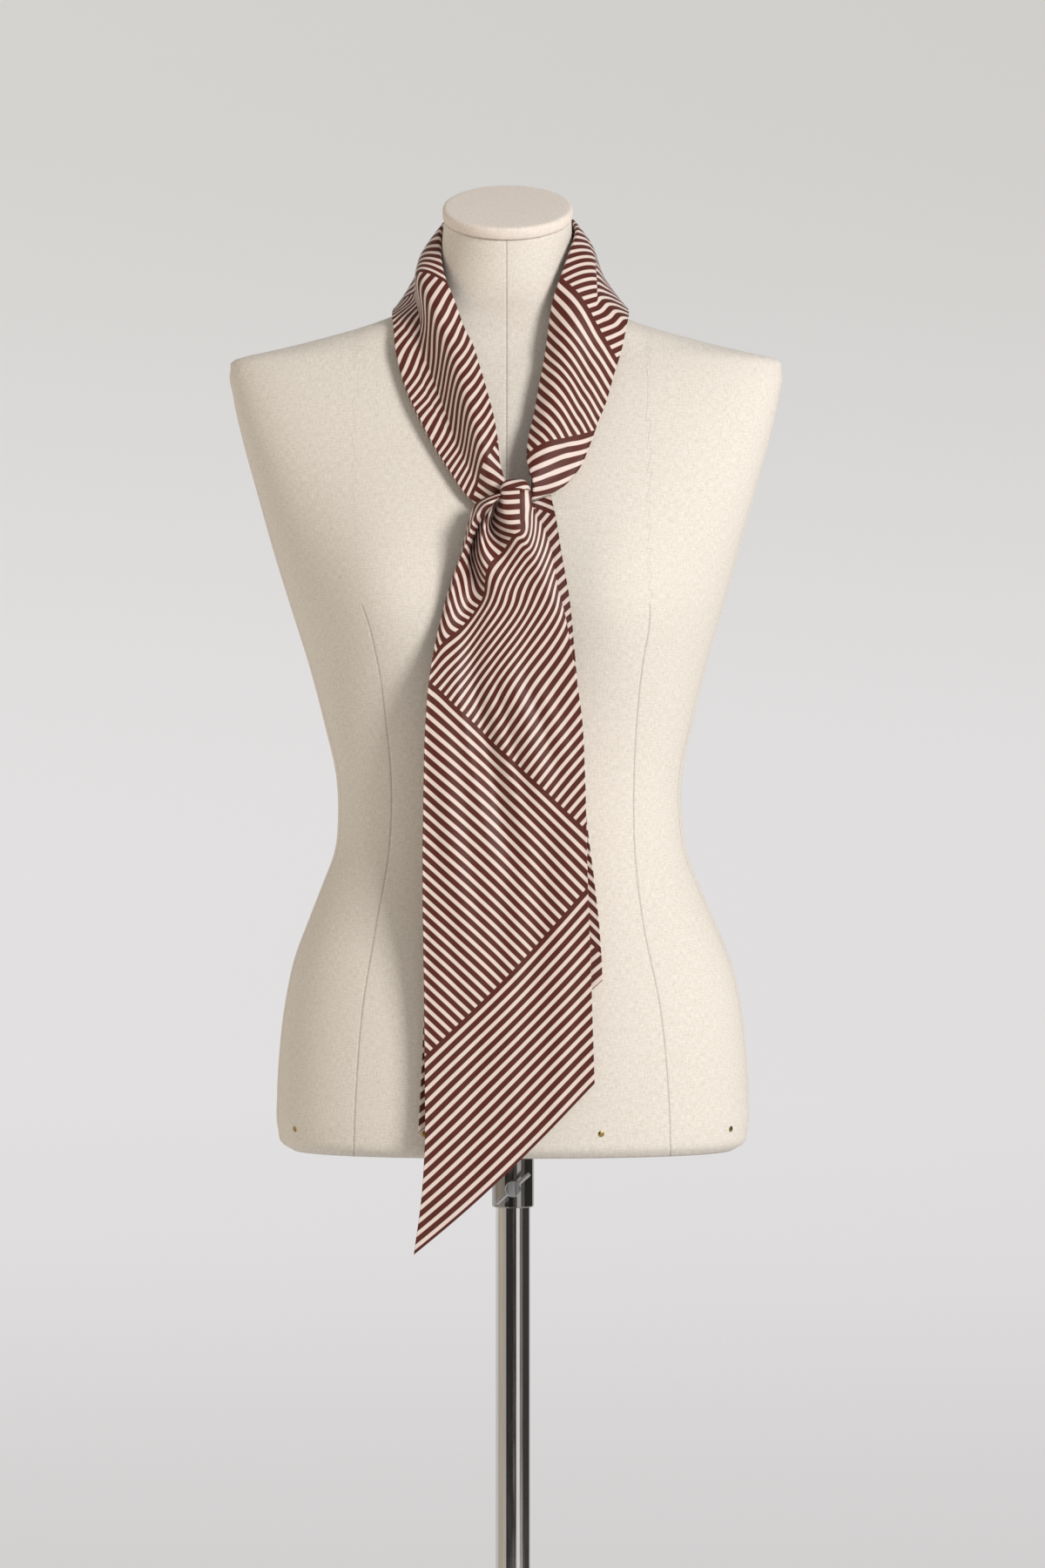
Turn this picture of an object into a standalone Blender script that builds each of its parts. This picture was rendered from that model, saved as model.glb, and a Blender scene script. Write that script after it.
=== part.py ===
"""A long striped silk scarf, knotted once round the neck of a limbless dress form on its stand.

Metres, +Z up, the front faces -Y and the floor is z = 0 with the pole on the Z axis.
Tables are in millimetres. On the form and the scarf, heights count from the form's hem.
"""

import math

import bpy
import bmesh
import numpy as np
from mathutils import Matrix, Vector
from mathutils.bvhtree import BVHTree

MM = 0.001
HEM_HEIGHT = 780.0           # of the form's hem above the floor

# Scarf: a flat tube of silk, cut on the slant at both ends
SCARF_WIDTH = 119.0
TAIL_WALL = 2.0              # both layers of a hanging tail together
LEAF_WALL = 1.5              # each half of the neck stretch, which is folded lengthwise
LEAF_SPREAD = 2.8            # between the middles of its two halves
CLEAR_OF_FORM = 0.6
SEAM_GAP = 0.3               # between one stretch and the next
RIDGE_AT = 0.26              # across a neck section, from its fold to its free edges
TROUGH_AT = 0.62
CREST_REACH = 0.2
BAND_COLUMNS = 9             # across each half of the neck stretch
FOLD_STEPS = 3
FINE_COLUMNS = 3             # between two gather lines
NARROW_COLUMNS = 2           # between two that are nearer than this
NARROW_STRIP = 12.0

# Dress form and stand
TORSO_AROUND = 44
SHARP_ANGLE = 50.0           # degrees between faces that meet at an edge
CUT_PAST = 10.0              # how far a bore's cutter runs past the face it opens
CAP_THICK = 9.0
CAP_HALF_WIDTH = 44.7
CAP_HALF_DEPTH = 52.0
NECK_TILT = 23.5             # degrees, the top of the neck leans forward
CAP_ROUNDING = 1.6
TACK_ANGLES = (18.0, 58.0, 122.0, 162.0, 198.0, 238.0, 302.0, 342.0)    # degrees round the hem
TACK_HEIGHT = 14.0
TACK_RADIUS = 2.4
TACK_PROUD = 1.1
TACK_PROFILE = ((1.0, 0.0), (0.82, 0.62), (0.4, 1.0))    # shares of its radius and height
OUTSIDE_FORM = 300.0         # a radius clear of the form on every side
SLEEVE_RADIUS = 14.5
SLEEVE_DROP = 43.0           # how far it shows below the hem
SLEEVE_RISE = 60.0           # how far it goes up into the form
SLEEVE_CHAMFER = 0.8
BORE_RADIUS = SLEEVE_RADIUS + 0.3
BORE_DEPTH = 262.0           # blind hole in the form over the sleeve and the pole
POLE_RADIUS = 12.1
POLE_BORE = POLE_RADIUS + 0.4
POLE_BOTTOM = 24.3
POLE_TOP = 930.0
POLE_CHAMFER = 1.0
HUB_BORE_BOTTOM = POLE_BOTTOM - SEAM_GAP
# The round foot and its hub: radius, height above the floor
FOOT_PROFILE = (
    (199.0, 0.0),
    (200.0, 1.0),
    (200.0, 3.5),
    (199.2, 5.2),
    (197.5, 6.0),
    (31.0, 8.0),
    (26.0, 11.0),
    (25.0, 16.0),
    (25.0, 57.5),
    (22.5, 60.0),
)
SCREW_HEIGHT = -29.0         # of the clamp screw's axis, from the hem
SCREW_SHANK_RADIUS = 3.0
SCREW_HOLE_RADIUS = 3.3
SCREW_HEAD_RADIUS = 5.5
SCREW_HEAD_THICK = 3.0
SCREW_REACH = 11.5           # from the sleeve to the front of the head
SCREW_BAR_LENGTH = 31.0
SCREW_BAR_RADIUS = 1.5
SCREW_CHAMFER = 0.6
BAR_CHAMFER = 0.5
BAR_BEHIND_HEAD = 0.8
SCREW_BAR_TURN = 42.0        # degrees, as it was left

# height, half width, depth in front, depth behind, middle x, middle y, squareness, tilt
TORSO_SECTIONS = (
    (0, 151, 90, 92, 0.0, 0, 2.3, 0),
    (3.5, 158, 96, 98, 0.0, 0, 2.3, 0),
    (12, 161.5, 99, 101, 0.0, 0, 2.3, 0),
    (34, 162.3, 101, 104, 0.0, 0, 2.3, 0),
    (63, 160.8, 102, 108, 0.0, 0, 2.3, 0),
    (101, 156.2, 100, 110, 0.0, 0, 2.3, 0),
    (129, 149.6, 96, 107, -0.5, 0, 2.3, 0),
    (153, 140.2, 91, 101, -1.0, 0, 2.3, 0),
    (179, 129.6, 85, 92, -1.5, 0, 2.3, 0),
    (202, 121.2, 81, 84, -1.5, 0, 2.3, 0),
    (228, 118.4, 79, 78, -2.0, 0, 2.3, 0),
    (252, 119.0, 79, 77, -2.5, 0, 2.3, 0),
    (288, 126.4, 83, 81, -3.0, 0, 2.3, 0),
    (333, 137.8, 91, 88, -3.5, 0, 2.3, 0),
    (368, 148.4, 95, 94, -4.0, 0, 2.35, 0),
    (405, 159.4, 92, 98, -4.5, 0, 2.4, 0),
    (447, 171.0, 83, 98, -4.7, 0, 2.5, 0),
    (484, 181.2, 71, 93, -4.7, 2, 2.6, 0),
    (515, 188.2, 60, 84, -4.7, 5, 2.6, 0),
    (533, 190.2, 53, 74, -4.7, 8, 2.5, 0),
    (541, 186.0, 49, 68, -4.7, 9, 2.4, 0),
    (547, 160.0, 47, 64, -4.6, 9, 2.3, 0),
    (555, 128.0, 46, 59, -4.5, 9, 2.2, 0),
    (563, 100.0, 46, 55, -4.4, 8, 2.1, 1),
    (572, 76.0, 47, 52, -4.3, 7, 2.0, 3),
    (584, 58.0, 48, 50, -4.2, 4, 2.0, 7),
    (600, 49.5, 49, 49, -4.1, 1, 2.0, 12),
    (619, 45.2, 49, 49, -4.0, -2, 2.0, 18),
    (636.5, 43.8, 50, 50, -3.6, -5, 2.0, NECK_TILT),
)
# Fullness over the bust: its middle on each side, its height, and how far it reaches
BUST_X = 86.0
BUST_HEIGHT = 372.0
BUST_REACH = 17.0
BUST_HALF_WIDTH = 47.0
BUST_HALF_HEIGHT = 62.0
BUST_SIDE_FALL = 0.7         # how it fades toward the side seam

# The neck stretch, from the knot up the left, round the back and down the right to the knot.
# station, folded edge x, y, height, free edges x, y, height, ridge, trough (both off the chord)
NECK_SECTIONS = (
    (0, -4.7, -98.0, 444.5, -21.0, -94.5, 432.0, 2.0, 0.5),
    (15, -9.5, -90.0, 461.5, -32.5, -91.5, 443.0, 3.5, -0.5),
    (32, -11.3, -82.5, 478.0, -43.0, -86.0, 458.5, 6.0, -0.5),
    (51, -14.3, -74.0, 495.0, -53.5, -78.5, 475.6, 7.5, 0.5),
    (67, -17.9, -67.0, 508.5, -63.0, -71.0, 494.0, 8.0, 1.0),
    (88, -23.2, -57.5, 527.0, -70.2, -63.5, 509.5, 8.0, 1.0),
    (107, -28.2, -49.0, 543.5, -75.7, -55.0, 525.0, 8.0, 1.0),
    (122, -34.0, -44.5, 556.0, -79.5, -45.5, 541.0, 8.0, 1.0),
    (141, -39.5, -40.5, 573.5, -81.0, -33.0, 556.5, 8.5, 1.0),
    (164, -46.0, -30.0, 592.5, -82.0, -17.0, 566.5, 8.0, 1.0),
    (191, -49.3, -12.0, 612.0, -81.5, 3.0, 573.5, 5.0, 1.0),
    (212, -49.3, 2.0, 626.5, -79.0, 22.0, 578.0, 3.0, 1.0),
    (240, -42.0, 24.0, 639.5, -66.0, 43.0, 588.0, 2.5, 1.0),
    (265, -24.0, 40.5, 645.5, -36.0, 57.0, 591.0, 2.5, 1.5),
    (287, -3.0, 46.5, 647.5, -3.0, 61.0, 590.5, 2.5, 1.5),
    (309, 17.5, 41.5, 646.5, 29.5, 58.5, 591.0, 2.5, 1.0),
    (332, 34.5, 27.0, 641.5, 56.0, 47.0, 589.0, 3.0, 0.5),
    (352, 41.8, 10.0, 634.5, 71.5, 30.0, 582.0, 2.5, -1.0),
    (372, 43.6, -8.0, 626.5, 77.0, 12.0, 576.5, 2.0, -2.0),
    (396, 40.0, -27.0, 613.0, 78.5, -10.0, 570.0, 3.5, -1.0),
    (421, 33.5, -41.0, 593.0, 77.0, -30.0, 560.0, 5.0, 1.5),
    (440, 28.3, -46.0, 576.0, 73.2, -45.0, 541.5, 6.0, 3.0),
    (461, 25.4, -47.0, 555.0, 68.0, -56.5, 523.5, 6.5, 3.5),
    (481, 22.8, -53.5, 536.0, 63.8, -65.0, 507.5, 6.5, 3.5),
    (505, 18.8, -65.5, 515.0, 57.5, -73.0, 491.5, 7.0, 4.0),
    (527, 15.5, -75.5, 495.0, 51.5, -82.0, 474.5, 7.5, 5.0),
    (546, 11.8, -84.5, 480.0, 43.8, -89.5, 458.0, 7.0, 5.0),
    (561, 10.2, -94.0, 467.0, 31.0, -97.0, 444.8, 5.0, 4.0),
    (575, 11.3, -101.5, 455.5, 12.0, -101.5, 437.0, 2.0, 2.0),
)
NECK_STRETCHES = (
    ("scarf_neck_left", 0.0, 226.0),
    ("scarf_neck_back", 226.0, 352.0),
    ("scarf_neck_right", 352.0, 575.0),
)
NECK_STEP = 15.0             # from one section to the next

# The front tail's side edges: cloth length from its tip, left x, height, right x, height, y
FRONT_TAIL_EDGES = (
    (0, -65.8, -65.4, 60.5, -68.0, -112.0),
    (40, -60.6, -26.0, 58.0, -29.0, -112.0),
    (80, -58.4, 13.0, 56.2, 10.0, -112.0),
    (119, -58.5, 50.5, 54.7, 48.7, -112.0),
    (190, -59.2, 116.0, 52.5, 116.0, -112.5),
    (254, -60.0, 174.0, 50.2, 178.5, -113.0),
    (290, -60.0, 206.6, 49.3, 215.0, -113.0),
    (330, -59.4, 243.0, 48.3, 254.0, -113.5),
    (370, -58.6, 279.5, 46.2, 292.5, -113.5),
    (409, -56.0, 314.6, 40.4, 331.0, -113.5),
)
# Lines along the tail where it gathers into the knot, each at its own place across the cloth:
# row, x, y, height. The rows above the last of the table above run up to the knot's crease.
GATHER_LINES = (
    ("left edge", 0.0, (
        (433, -52.5, -110.0, 336.6), (458, -46.7, -108.0, 361.0), (485, -39.2, -105.0, 387.0),
        (498, -35.1, -103.0, 398.6), (511, -31.6, -102.0, 411.9), (524, -28.7, -102.0, 424.0),
        (537, -23.5, -104.5, 435.7), (545, -15.5, -108.0, 439.0), (553, -9.5, -110.5, 440.5))),
    ("flap ridge", 9.0, (
        (433, -47.5, -111.0, 340.0), (458, -42.5, -111.5, 364.5), (485, -34.6, -112.0, 393.5),
        (498, -30.2, -112.5, 405.0), (511, -25.5, -112.5, 416.5), (524, -21.0, -112.5, 426.0),
        (537, -15.0, -112.5, 433.0), (545, -11.0, -113.0, 436.5), (553, -9.0, -113.0, 439.0))),
    ("outer pocket", 24.0, (
        (433, -33.5, -111.5, 349.0), (458, -28.0, -108.0, 371.0), (485, -27.6, -102.5, 391.5),
        (498, -27.0, -101.5, 402.5), (511, -24.0, -103.0, 414.0), (524, -19.8, -106.5, 423.0),
        (537, -15.0, -108.5, 430.5), (545, -11.5, -109.5, 435.0), (553, -8.7, -110.0, 438.5))),
    ("pleat", 46.0, (
        (433, -14.5, -113.5, 357.5), (458, -12.5, -114.0, 373.0), (485, -15.8, -114.0, 389.5),
        (498, -18.0, -113.5, 398.5), (511, -19.3, -113.0, 409.0), (524, -18.0, -112.5, 420.0),
        (537, -14.6, -112.5, 428.5), (545, -11.3, -112.5, 434.0), (553, -8.4, -112.0, 438.0))),
    ("inner pocket", 66.0, (
        (433, 2.0, -114.0, 361.0), (458, 0.5, -114.5, 379.0), (485, -4.4, -113.0, 398.6),
        (498, -8.0, -110.0, 405.5), (511, -11.8, -105.0, 413.7), (524, -13.2, -102.5, 421.8),
        (537, -12.0, -102.5, 429.0), (545, -10.2, -104.5, 434.0), (553, -8.0, -107.0, 438.5))),
    ("bridge left", 84.0, (
        (433, 15.0, -114.5, 362.5), (458, 10.0, -115.0, 384.0), (485, 4.9, -116.0, 404.0),
        (498, 2.0, -116.5, 411.5), (511, -2.0, -116.5, 418.0), (524, -5.0, -116.5, 424.5),
        (537, -6.1, -116.0, 431.5), (545, -6.1, -115.5, 437.5), (553, -6.0, -114.5, 444.0))),
    ("bridge middle", 101.0, (
        (433, 27.0, -114.5, 360.5), (458, 20.5, -115.5, 382.5), (485, 14.1, -116.5, 401.0),
        (498, 11.2, -117.0, 408.5), (511, 8.9, -117.0, 416.5), (524, 6.6, -117.0, 424.5),
        (537, 5.2, -117.0, 432.5), (545, 4.5, -116.5, 438.5), (553, 4.0, -114.8, 444.6))),
    ("right edge", SCARF_WIDTH, (
        (433, 35.8, -113.5, 356.5), (458, 30.0, -113.0, 381.0), (485, 24.8, -113.0, 407.0),
        (498, 20.4, -113.5, 418.5), (511, 14.6, -114.0, 428.5), (524, 12.8, -114.0, 434.0),
        (537, 12.6, -114.0, 438.0), (545, 12.4, -113.5, 440.0), (553, 12.2, -112.5, 441.8))),
)
GATHER_TOP = 553.0
# Soft long folds of the front tail: across and along at each end, half width, reach forward
FRONT_TAIL_FOLDS = (
    (30.0, 440.0, 66.0, 262.0, 15.0, -4.0),
    (62.0, 430.0, 92.0, 300.0, 16.0, 2.5),
    (10.0, 400.0, 34.0, 180.0, 14.0, 2.0),
    (96.0, 330.0, 70.0, 150.0, 18.0, -2.0),
)

# The back tail: cloth length from its tip, left x, height, right x, height, y
BACK_TAIL_EDGES = (
    (0, -63.0, 15.3, 63.5, 0.0, -106.5),
    (60, -60.0, 74.0, 62.0, 58.0, -106.5),
    (119, -58.0, 131.0, 60.0, 117.0, -106.5),
    (150, -57.0, 161.0, 58.5, 146.0, -106.5),
    (190, -56.0, 199.0, 54.5, 184.0, -106.5),
    (230, -54.0, 238.0, 49.5, 224.0, -106.5),
    (300, -46.0, 300.0, 45.0, 292.0, -106.5),
    (350, -35.0, 343.0, 41.5, 336.0, -105.5),
    (390, -20.0, 374.0, 38.0, 372.0, -103.0),
    (425, -7.0, 399.0, 32.8, 402.0, -99.0),
    (450, 2.0, 419.0, 29.4, 424.0, -96.5),
    (472, 7.0, 434.0, 25.5, 441.5, -94.5),
)

# Both tails start with rows along their slanted end, which turn level by this length
FIRST_LEVEL_ROW = 135.0
SLANTED_ROWS = 5
# The front tail's level rows: from, to, how many
FRONT_TAIL_ROWS = (
    (FIRST_LEVEL_ROW, 400.0, 10),
    (416.0, 480.0, 6),
    (489.0, GATHER_TOP, 9),
)
BACK_TAIL_ROWS = 16
BACK_TAIL_COLUMNS = 11

KNOT_MIDDLE = (2.8, -104.5, 438.7)
KNOT_HALF_SIZES = (7.8, 9.2, 12.4)
KNOT_SQUARENESS = 2.8
# A shallow crease round the knot: its height and half width as shares of the knot's, its depth
KNOT_CREASE = (0.25, 0.3, 0.07)


def clear_scene():
    for old in list(bpy.data.objects):
        bpy.data.objects.remove(old, do_unlink=True)


def material(name, colour, roughness, metallic=0.0):
    made = bpy.data.materials.new(name)
    made.use_nodes = True
    shader = made.node_tree.nodes["Principled BSDF"]
    shader.inputs["Base Color"].default_value = (*colour, 1.0)
    shader.inputs["Roughness"].default_value = roughness
    shader.inputs["Metallic"].default_value = metallic
    return made


def place(x, y, height):
    """A point on the form or the scarf, in metres, from millimetres above the hem."""
    return Vector((x * MM, y * MM, (HEM_HEIGHT + height) * MM))


def smooth_rows(rows, at):
    """Reads a table between its rows: cubics through its columns, keyed by its first column."""
    table = np.asarray(rows, float)
    keys = table[:, 0]
    slopes = np.gradient(table, keys, axis=0)
    low = int(np.clip(np.searchsorted(keys, at) - 1, 0, len(keys) - 2))
    span = keys[low + 1] - keys[low]
    t = (at - keys[low]) / span
    start = (1 + 2 * t) * (1 - t) ** 2 * table[low] + t * (1 - t) ** 2 * span * slopes[low]
    end = t * t * (3 - 2 * t) * table[low + 1] - t * t * (1 - t) * span * slopes[low + 1]
    return start + end


def bump(distance):
    """One at nought, falling smoothly to nothing at one."""
    return math.cos(min(abs(distance), 1.0) * math.pi / 2) ** 2


def new_object(name, mesh, look, parent=None):
    made = bpy.data.objects.new(name, mesh)
    bpy.context.scene.collection.objects.link(made)
    mesh.materials.append(look)
    mesh.shade_smooth()
    mesh.set_sharp_from_angle(angle=math.radians(SHARP_ANGLE))
    if parent:
        made.parent = parent
        made.matrix_parent_inverse = parent.matrix_world.inverted()
    return made


def mesh_of(name, points, faces):
    mesh = bpy.data.meshes.new(name)
    mesh.from_pydata([tuple(point) for point in points], [], faces)
    mesh.update()
    return mesh


def torso_ring(row):
    """One closed section of the form, counter-clockwise from above."""
    height, half_width, front, back, middle_x, middle_y, square, tilt = row
    lean = math.radians(tilt)
    ring = []
    for step in range(TORSO_AROUND):
        angle = math.tau * step / TORSO_AROUND
        side = math.cos(angle)
        ahead = math.sin(angle)
        x = half_width * math.copysign(abs(side) ** (2 / square), side)
        depth = front if ahead < 0 else back
        y = depth * math.copysign(abs(ahead) ** (2 / square), ahead)
        fullness = 0.0
        if ahead < 0:
            across = (abs(x) - BUST_X) / BUST_HALF_WIDTH
            up = (height - BUST_HEIGHT) / BUST_HALF_HEIGHT
            fullness = BUST_REACH * abs(ahead) ** BUST_SIDE_FALL
            fullness *= math.exp(-across * across - up * up)
        ring.append(place(
            middle_x + x,
            middle_y + y * math.cos(lean) - fullness,
            height + y * math.sin(lean),
        ))
    return ring


def loft(name, rings):
    """A closed solid through closed rings of equal count, capped flat at both ends."""
    count = len(rings[0])
    points = [point for ring in rings for point in ring]
    faces = []
    for level in range(len(rings) - 1):
        for step in range(count):
            after = (step + 1) % count
            faces.append((
                level * count + step,
                level * count + after,
                (level + 1) * count + after,
                (level + 1) * count + step,
            ))
    faces.append(tuple(reversed(range(count))))
    last = (len(rings) - 1) * count
    faces.append(tuple(last + step for step in range(count)))
    return mesh_of(name, points, faces)


def turned(name, profile, segments=32):
    """A solid of revolution about Z from (radius, z) pairs in millimetres, bottom to top."""
    rings = []
    for radius, z in profile:
        rings.append([
            Vector((
                radius * MM * math.cos(math.tau * step / segments),
                radius * MM * math.sin(math.tau * step / segments),
                z * MM,
            ))
            for step in range(segments)
        ])
    return loft(name, rings)


def cut(target, cutter_mesh, matrix=None):
    """Takes a closed shape out of an object."""
    cutter = bpy.data.objects.new(target.name + "_cutter", cutter_mesh)
    bpy.context.scene.collection.objects.link(cutter)
    if matrix is not None:
        cutter.matrix_world = matrix
    cutter.hide_render = True
    cutter.display_type = "WIRE"
    change = target.modifiers.new("cut", "BOOLEAN")
    change.operation = "DIFFERENCE"
    change.solver = "EXACT"
    change.object = cutter


def join_with(target, other_mesh, matrix):
    """Fuses a second closed shape into an object."""
    other = bpy.data.objects.new(target.name + "_joined", other_mesh)
    bpy.context.scene.collection.objects.link(other)
    other.matrix_world = matrix
    other.hide_render = True
    other.display_type = "WIRE"
    change = target.modifiers.new("join", "BOOLEAN")
    change.operation = "UNION"
    change.solver = "EXACT"
    change.object = other


def surface_normals(grid, stations=None):
    """Unit normals of a grid of points, rows by columns. Uneven rows give their stations."""
    points = np.asarray([[tuple(point) for point in row] for row in grid])
    spacing = np.arange(len(points)) if stations is None else np.asarray(stations)
    along = np.gradient(points, spacing, axis=0)
    across = np.gradient(points, axis=1)
    normals = np.cross(across, along)
    return points, normals / np.linalg.norm(normals, axis=2, keepdims=True)


def wall(name, grid, thickness, look, parent, stations=None, first=0, last=None):
    """A closed wall of even thickness, half of it either side of a grid's rows, or some of them."""
    points, normals = surface_normals(grid, stations)
    points = points[first:last]
    normals = normals[first:last]
    rows, columns = points.shape[:2]
    half = thickness * MM / 2
    front = (points + normals * half).reshape(-1, 3)
    back = (points - normals * half).reshape(-1, 3)
    behind = rows * columns

    def quad(row, column):
        first = row * columns + column
        return (first, first + 1, first + columns + 1, first + columns)

    faces = []
    for row in range(rows - 1):
        for column in range(columns - 1):
            near = quad(row, column)
            faces.append(near)
            faces.append(tuple(behind + corner for corner in reversed(near)))
    rim = [(row, 0) for row in range(rows - 1, 0, -1)]
    rim += [(0, column) for column in range(columns - 1)]
    rim += [(row, columns - 1) for row in range(rows - 1)]
    rim += [(rows - 1, column) for column in range(columns - 1, 0, -1)]
    corners = [row * columns + column for row, column in rim]
    for step, corner in enumerate(corners):
        after = corners[(step + 1) % len(corners)]
        faces.append((after, corner, behind + corner, behind + after))
    return new_object(name, mesh_of(name, np.vstack([front, back]), faces), look, parent)


def clear_of(tree, point, distance):
    """The point, moved straight out of the form where it is nearer to it than the distance."""
    surface, normal, _, _ = tree.find_nearest(point)
    off = (point - surface).dot(normal)
    return point if off >= distance * MM else point + normal * (distance * MM - off)


def neck_grid(tree, stations, columns=BAND_COLUMNS):
    """The middle of the folded neck stretch: a row for each station, from fold to free edges."""
    off_form = LEAF_SPREAD / 2 + LEAF_WALL / 2 + CLEAR_OF_FORM
    grid = []
    for station in stations:
        section = smooth_rows(NECK_SECTIONS, station)
        fold, free = Vector(section[1:4]), Vector(section[4:7])
        ridge, trough = section[7:9]
        before = smooth_rows(NECK_SECTIONS, station - 2)
        after = smooth_rows(NECK_SECTIONS, station + 2)
        run = Vector(after[1:4] + after[4:7] - before[1:4] - before[4:7])
        outward = run.cross(free - fold).normalized()
        row = []
        for column in range(columns):
            across = column / (columns - 1)
            rise = ridge * bump((across - RIDGE_AT) / (2 * CREST_REACH))
            rise += trough * bump((across - TROUGH_AT) / (2 * CREST_REACH))
            point = fold.lerp(free, across) + outward * rise
            row.append(clear_of(tree, place(*point), off_form))
        grid.append(row)
    return grid


def folded_grid(middle, stations, spread):
    """Wraps the middle grid into two leaves joined round the folded edge."""
    points, normals = surface_normals(middle, stations)
    half = spread * MM / 2
    folded = []
    for row, facing in zip(points, normals):
        toward = row[0] - row[1]
        toward /= np.linalg.norm(toward)
        outer = [point + normal * half for point, normal in zip(row, facing)]
        inner = [point - normal * half for point, normal in zip(row, facing)]
        turn = []
        for step in range(1, FOLD_STEPS + 1):
            angle = math.pi * step / (FOLD_STEPS + 1)
            turn.append(row[0] + half * (facing[0] * math.cos(angle) + toward * math.sin(angle)))
        folded.append(outer[::-1] + turn + inner)
    return folded


def build_neck(look, parent, tree):
    stations = []
    ends = []
    for _, first, last in NECK_STRETCHES:
        count = round((last - first) / NECK_STEP) + 1
        stations.extend(np.linspace(first + SEAM_GAP / 2, last - SEAM_GAP / 2, count))
        ends.append(len(stations))
    folded = folded_grid(neck_grid(tree, stations), stations, LEAF_SPREAD)
    start = 0
    for (name, _, _), end in zip(NECK_STRETCHES, ends):
        wall(name, folded, LEAF_WALL, look, parent, stations, start, end)
        start = end


def side_edges(table, row):
    """The left and the right point of a tail at one row of its table."""
    _, left_x, left_height, right_x, right_height, y = smooth_rows(table, row)
    return Vector((left_x, y, left_height)), Vector((right_x, y, right_height))


def gathered_point(across, row):
    """A point of the front tail on the lines that gather it into the knot."""
    keys = []
    for _, line_across, line in GATHER_LINES:
        path = []
        for edge_row in [entry[0] for entry in FRONT_TAIL_EDGES[-4:]]:
            left, right = side_edges(FRONT_TAIL_EDGES, edge_row)
            path.append((edge_row, *left.lerp(right, line_across / SCARF_WIDTH)))
        path.extend(line)
        keys.append((line_across, *smooth_rows(path, row)[1:]))
    return Vector(smooth_rows(keys, across)[1:])


def front_tail_point(across, row):
    """A point of the front tail, across it in millimetres and along it by the rows."""
    gather_from = FRONT_TAIL_EDGES[-3][0]
    gather_by = FRONT_TAIL_EDGES[-1][0]
    if row < gather_by:
        left, right = side_edges(FRONT_TAIL_EDGES, row)
        point = left.lerp(right, across / SCARF_WIDTH)
    if row > gather_from:
        gathered = gathered_point(across, row)
        if row < gather_by:
            share = (row - gather_from) / (gather_by - gather_from)
            point = point.lerp(gathered, share * share * (3 - 2 * share))
        else:
            point = gathered
    for start_across, start_row, end_across, end_row, half_width, reach in FRONT_TAIL_FOLDS:
        share = (row - start_row) / (end_row - start_row)
        if 0 < share < 1:
            line = start_across + (end_across - start_across) * share
            fade = math.sin(share * math.pi)
            point.y -= reach * fade * bump((across - line) / half_width)
    return point


def front_tail_grid(across_steps, end_rows, rows):
    """The front tail's middle: slanted rows up from its cut end, then level rows to the knot."""
    grid = []
    for step in range(end_rows):
        share = step / end_rows
        grid.append([
            place(*front_tail_point(across, across + (FIRST_LEVEL_ROW - across) * share))
            for across in across_steps
        ])
    for row in rows:
        grid.append([place(*front_tail_point(across, row)) for across in across_steps])
    return grid


def build_front_tail(look, parent):
    columns = []
    lines = [line_across for _, line_across, _ in GATHER_LINES]
    for before, after in zip(lines, lines[1:]):
        count = NARROW_COLUMNS if after - before < NARROW_STRIP else FINE_COLUMNS
        columns.extend(np.linspace(before, after, count, endpoint=False))
    columns.append(SCARF_WIDTH)
    rows = []
    for low, high, count in FRONT_TAIL_ROWS:
        rows.extend(np.linspace(low, high, count))
    grid = front_tail_grid(columns, SLANTED_ROWS, rows)
    wall("scarf_front_tail", grid, TAIL_WALL, look, parent)


def build_back_tail(look, parent, tree):
    off_form = TAIL_WALL / 2 + CLEAR_OF_FORM
    grid = []
    for index in range(SLANTED_ROWS + BACK_TAIL_ROWS):
        line = []
        for across in np.linspace(0, SCARF_WIDTH, BACK_TAIL_COLUMNS):
            if index < SLANTED_ROWS:
                length = across + (FIRST_LEVEL_ROW - across) * index / SLANTED_ROWS
            else:
                share = (index - SLANTED_ROWS) / (BACK_TAIL_ROWS - 1)
                length = FIRST_LEVEL_ROW + (BACK_TAIL_EDGES[-1][0] - FIRST_LEVEL_ROW) * share
            left, right = side_edges(BACK_TAIL_EDGES, length)
            point = left.lerp(right, across / SCARF_WIDTH)
            line.append(clear_of(tree, place(*point), off_form))
        grid.append(line)
    wall("scarf_back_tail", grid, TAIL_WALL, look, parent)


def build_knot(look, parent):
    """The cloth that is wound round behind the bridge, its layers fused into one rounded core."""
    crease_height, crease_half, crease_depth = KNOT_CREASE
    mesh = bpy.data.meshes.new("scarf_knot")
    shape = bmesh.new()
    bmesh.ops.create_uvsphere(shape, u_segments=20, v_segments=12, radius=1.0)
    for point in shape.verts:
        side, ahead, up = (
            math.copysign(abs(value) ** (2 / KNOT_SQUARENESS), value) for value in point.co
        )
        crease = crease_depth * bump((up - crease_height) / crease_half)
        point.co = place(*(
            middle + half * value * (1 - crease)
            for middle, half, value in zip(KNOT_MIDDLE, KNOT_HALF_SIZES, (side, ahead, up))
        ))
    shape.to_mesh(mesh)
    shape.free()
    return new_object("scarf_knot", mesh, look, parent)


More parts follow.
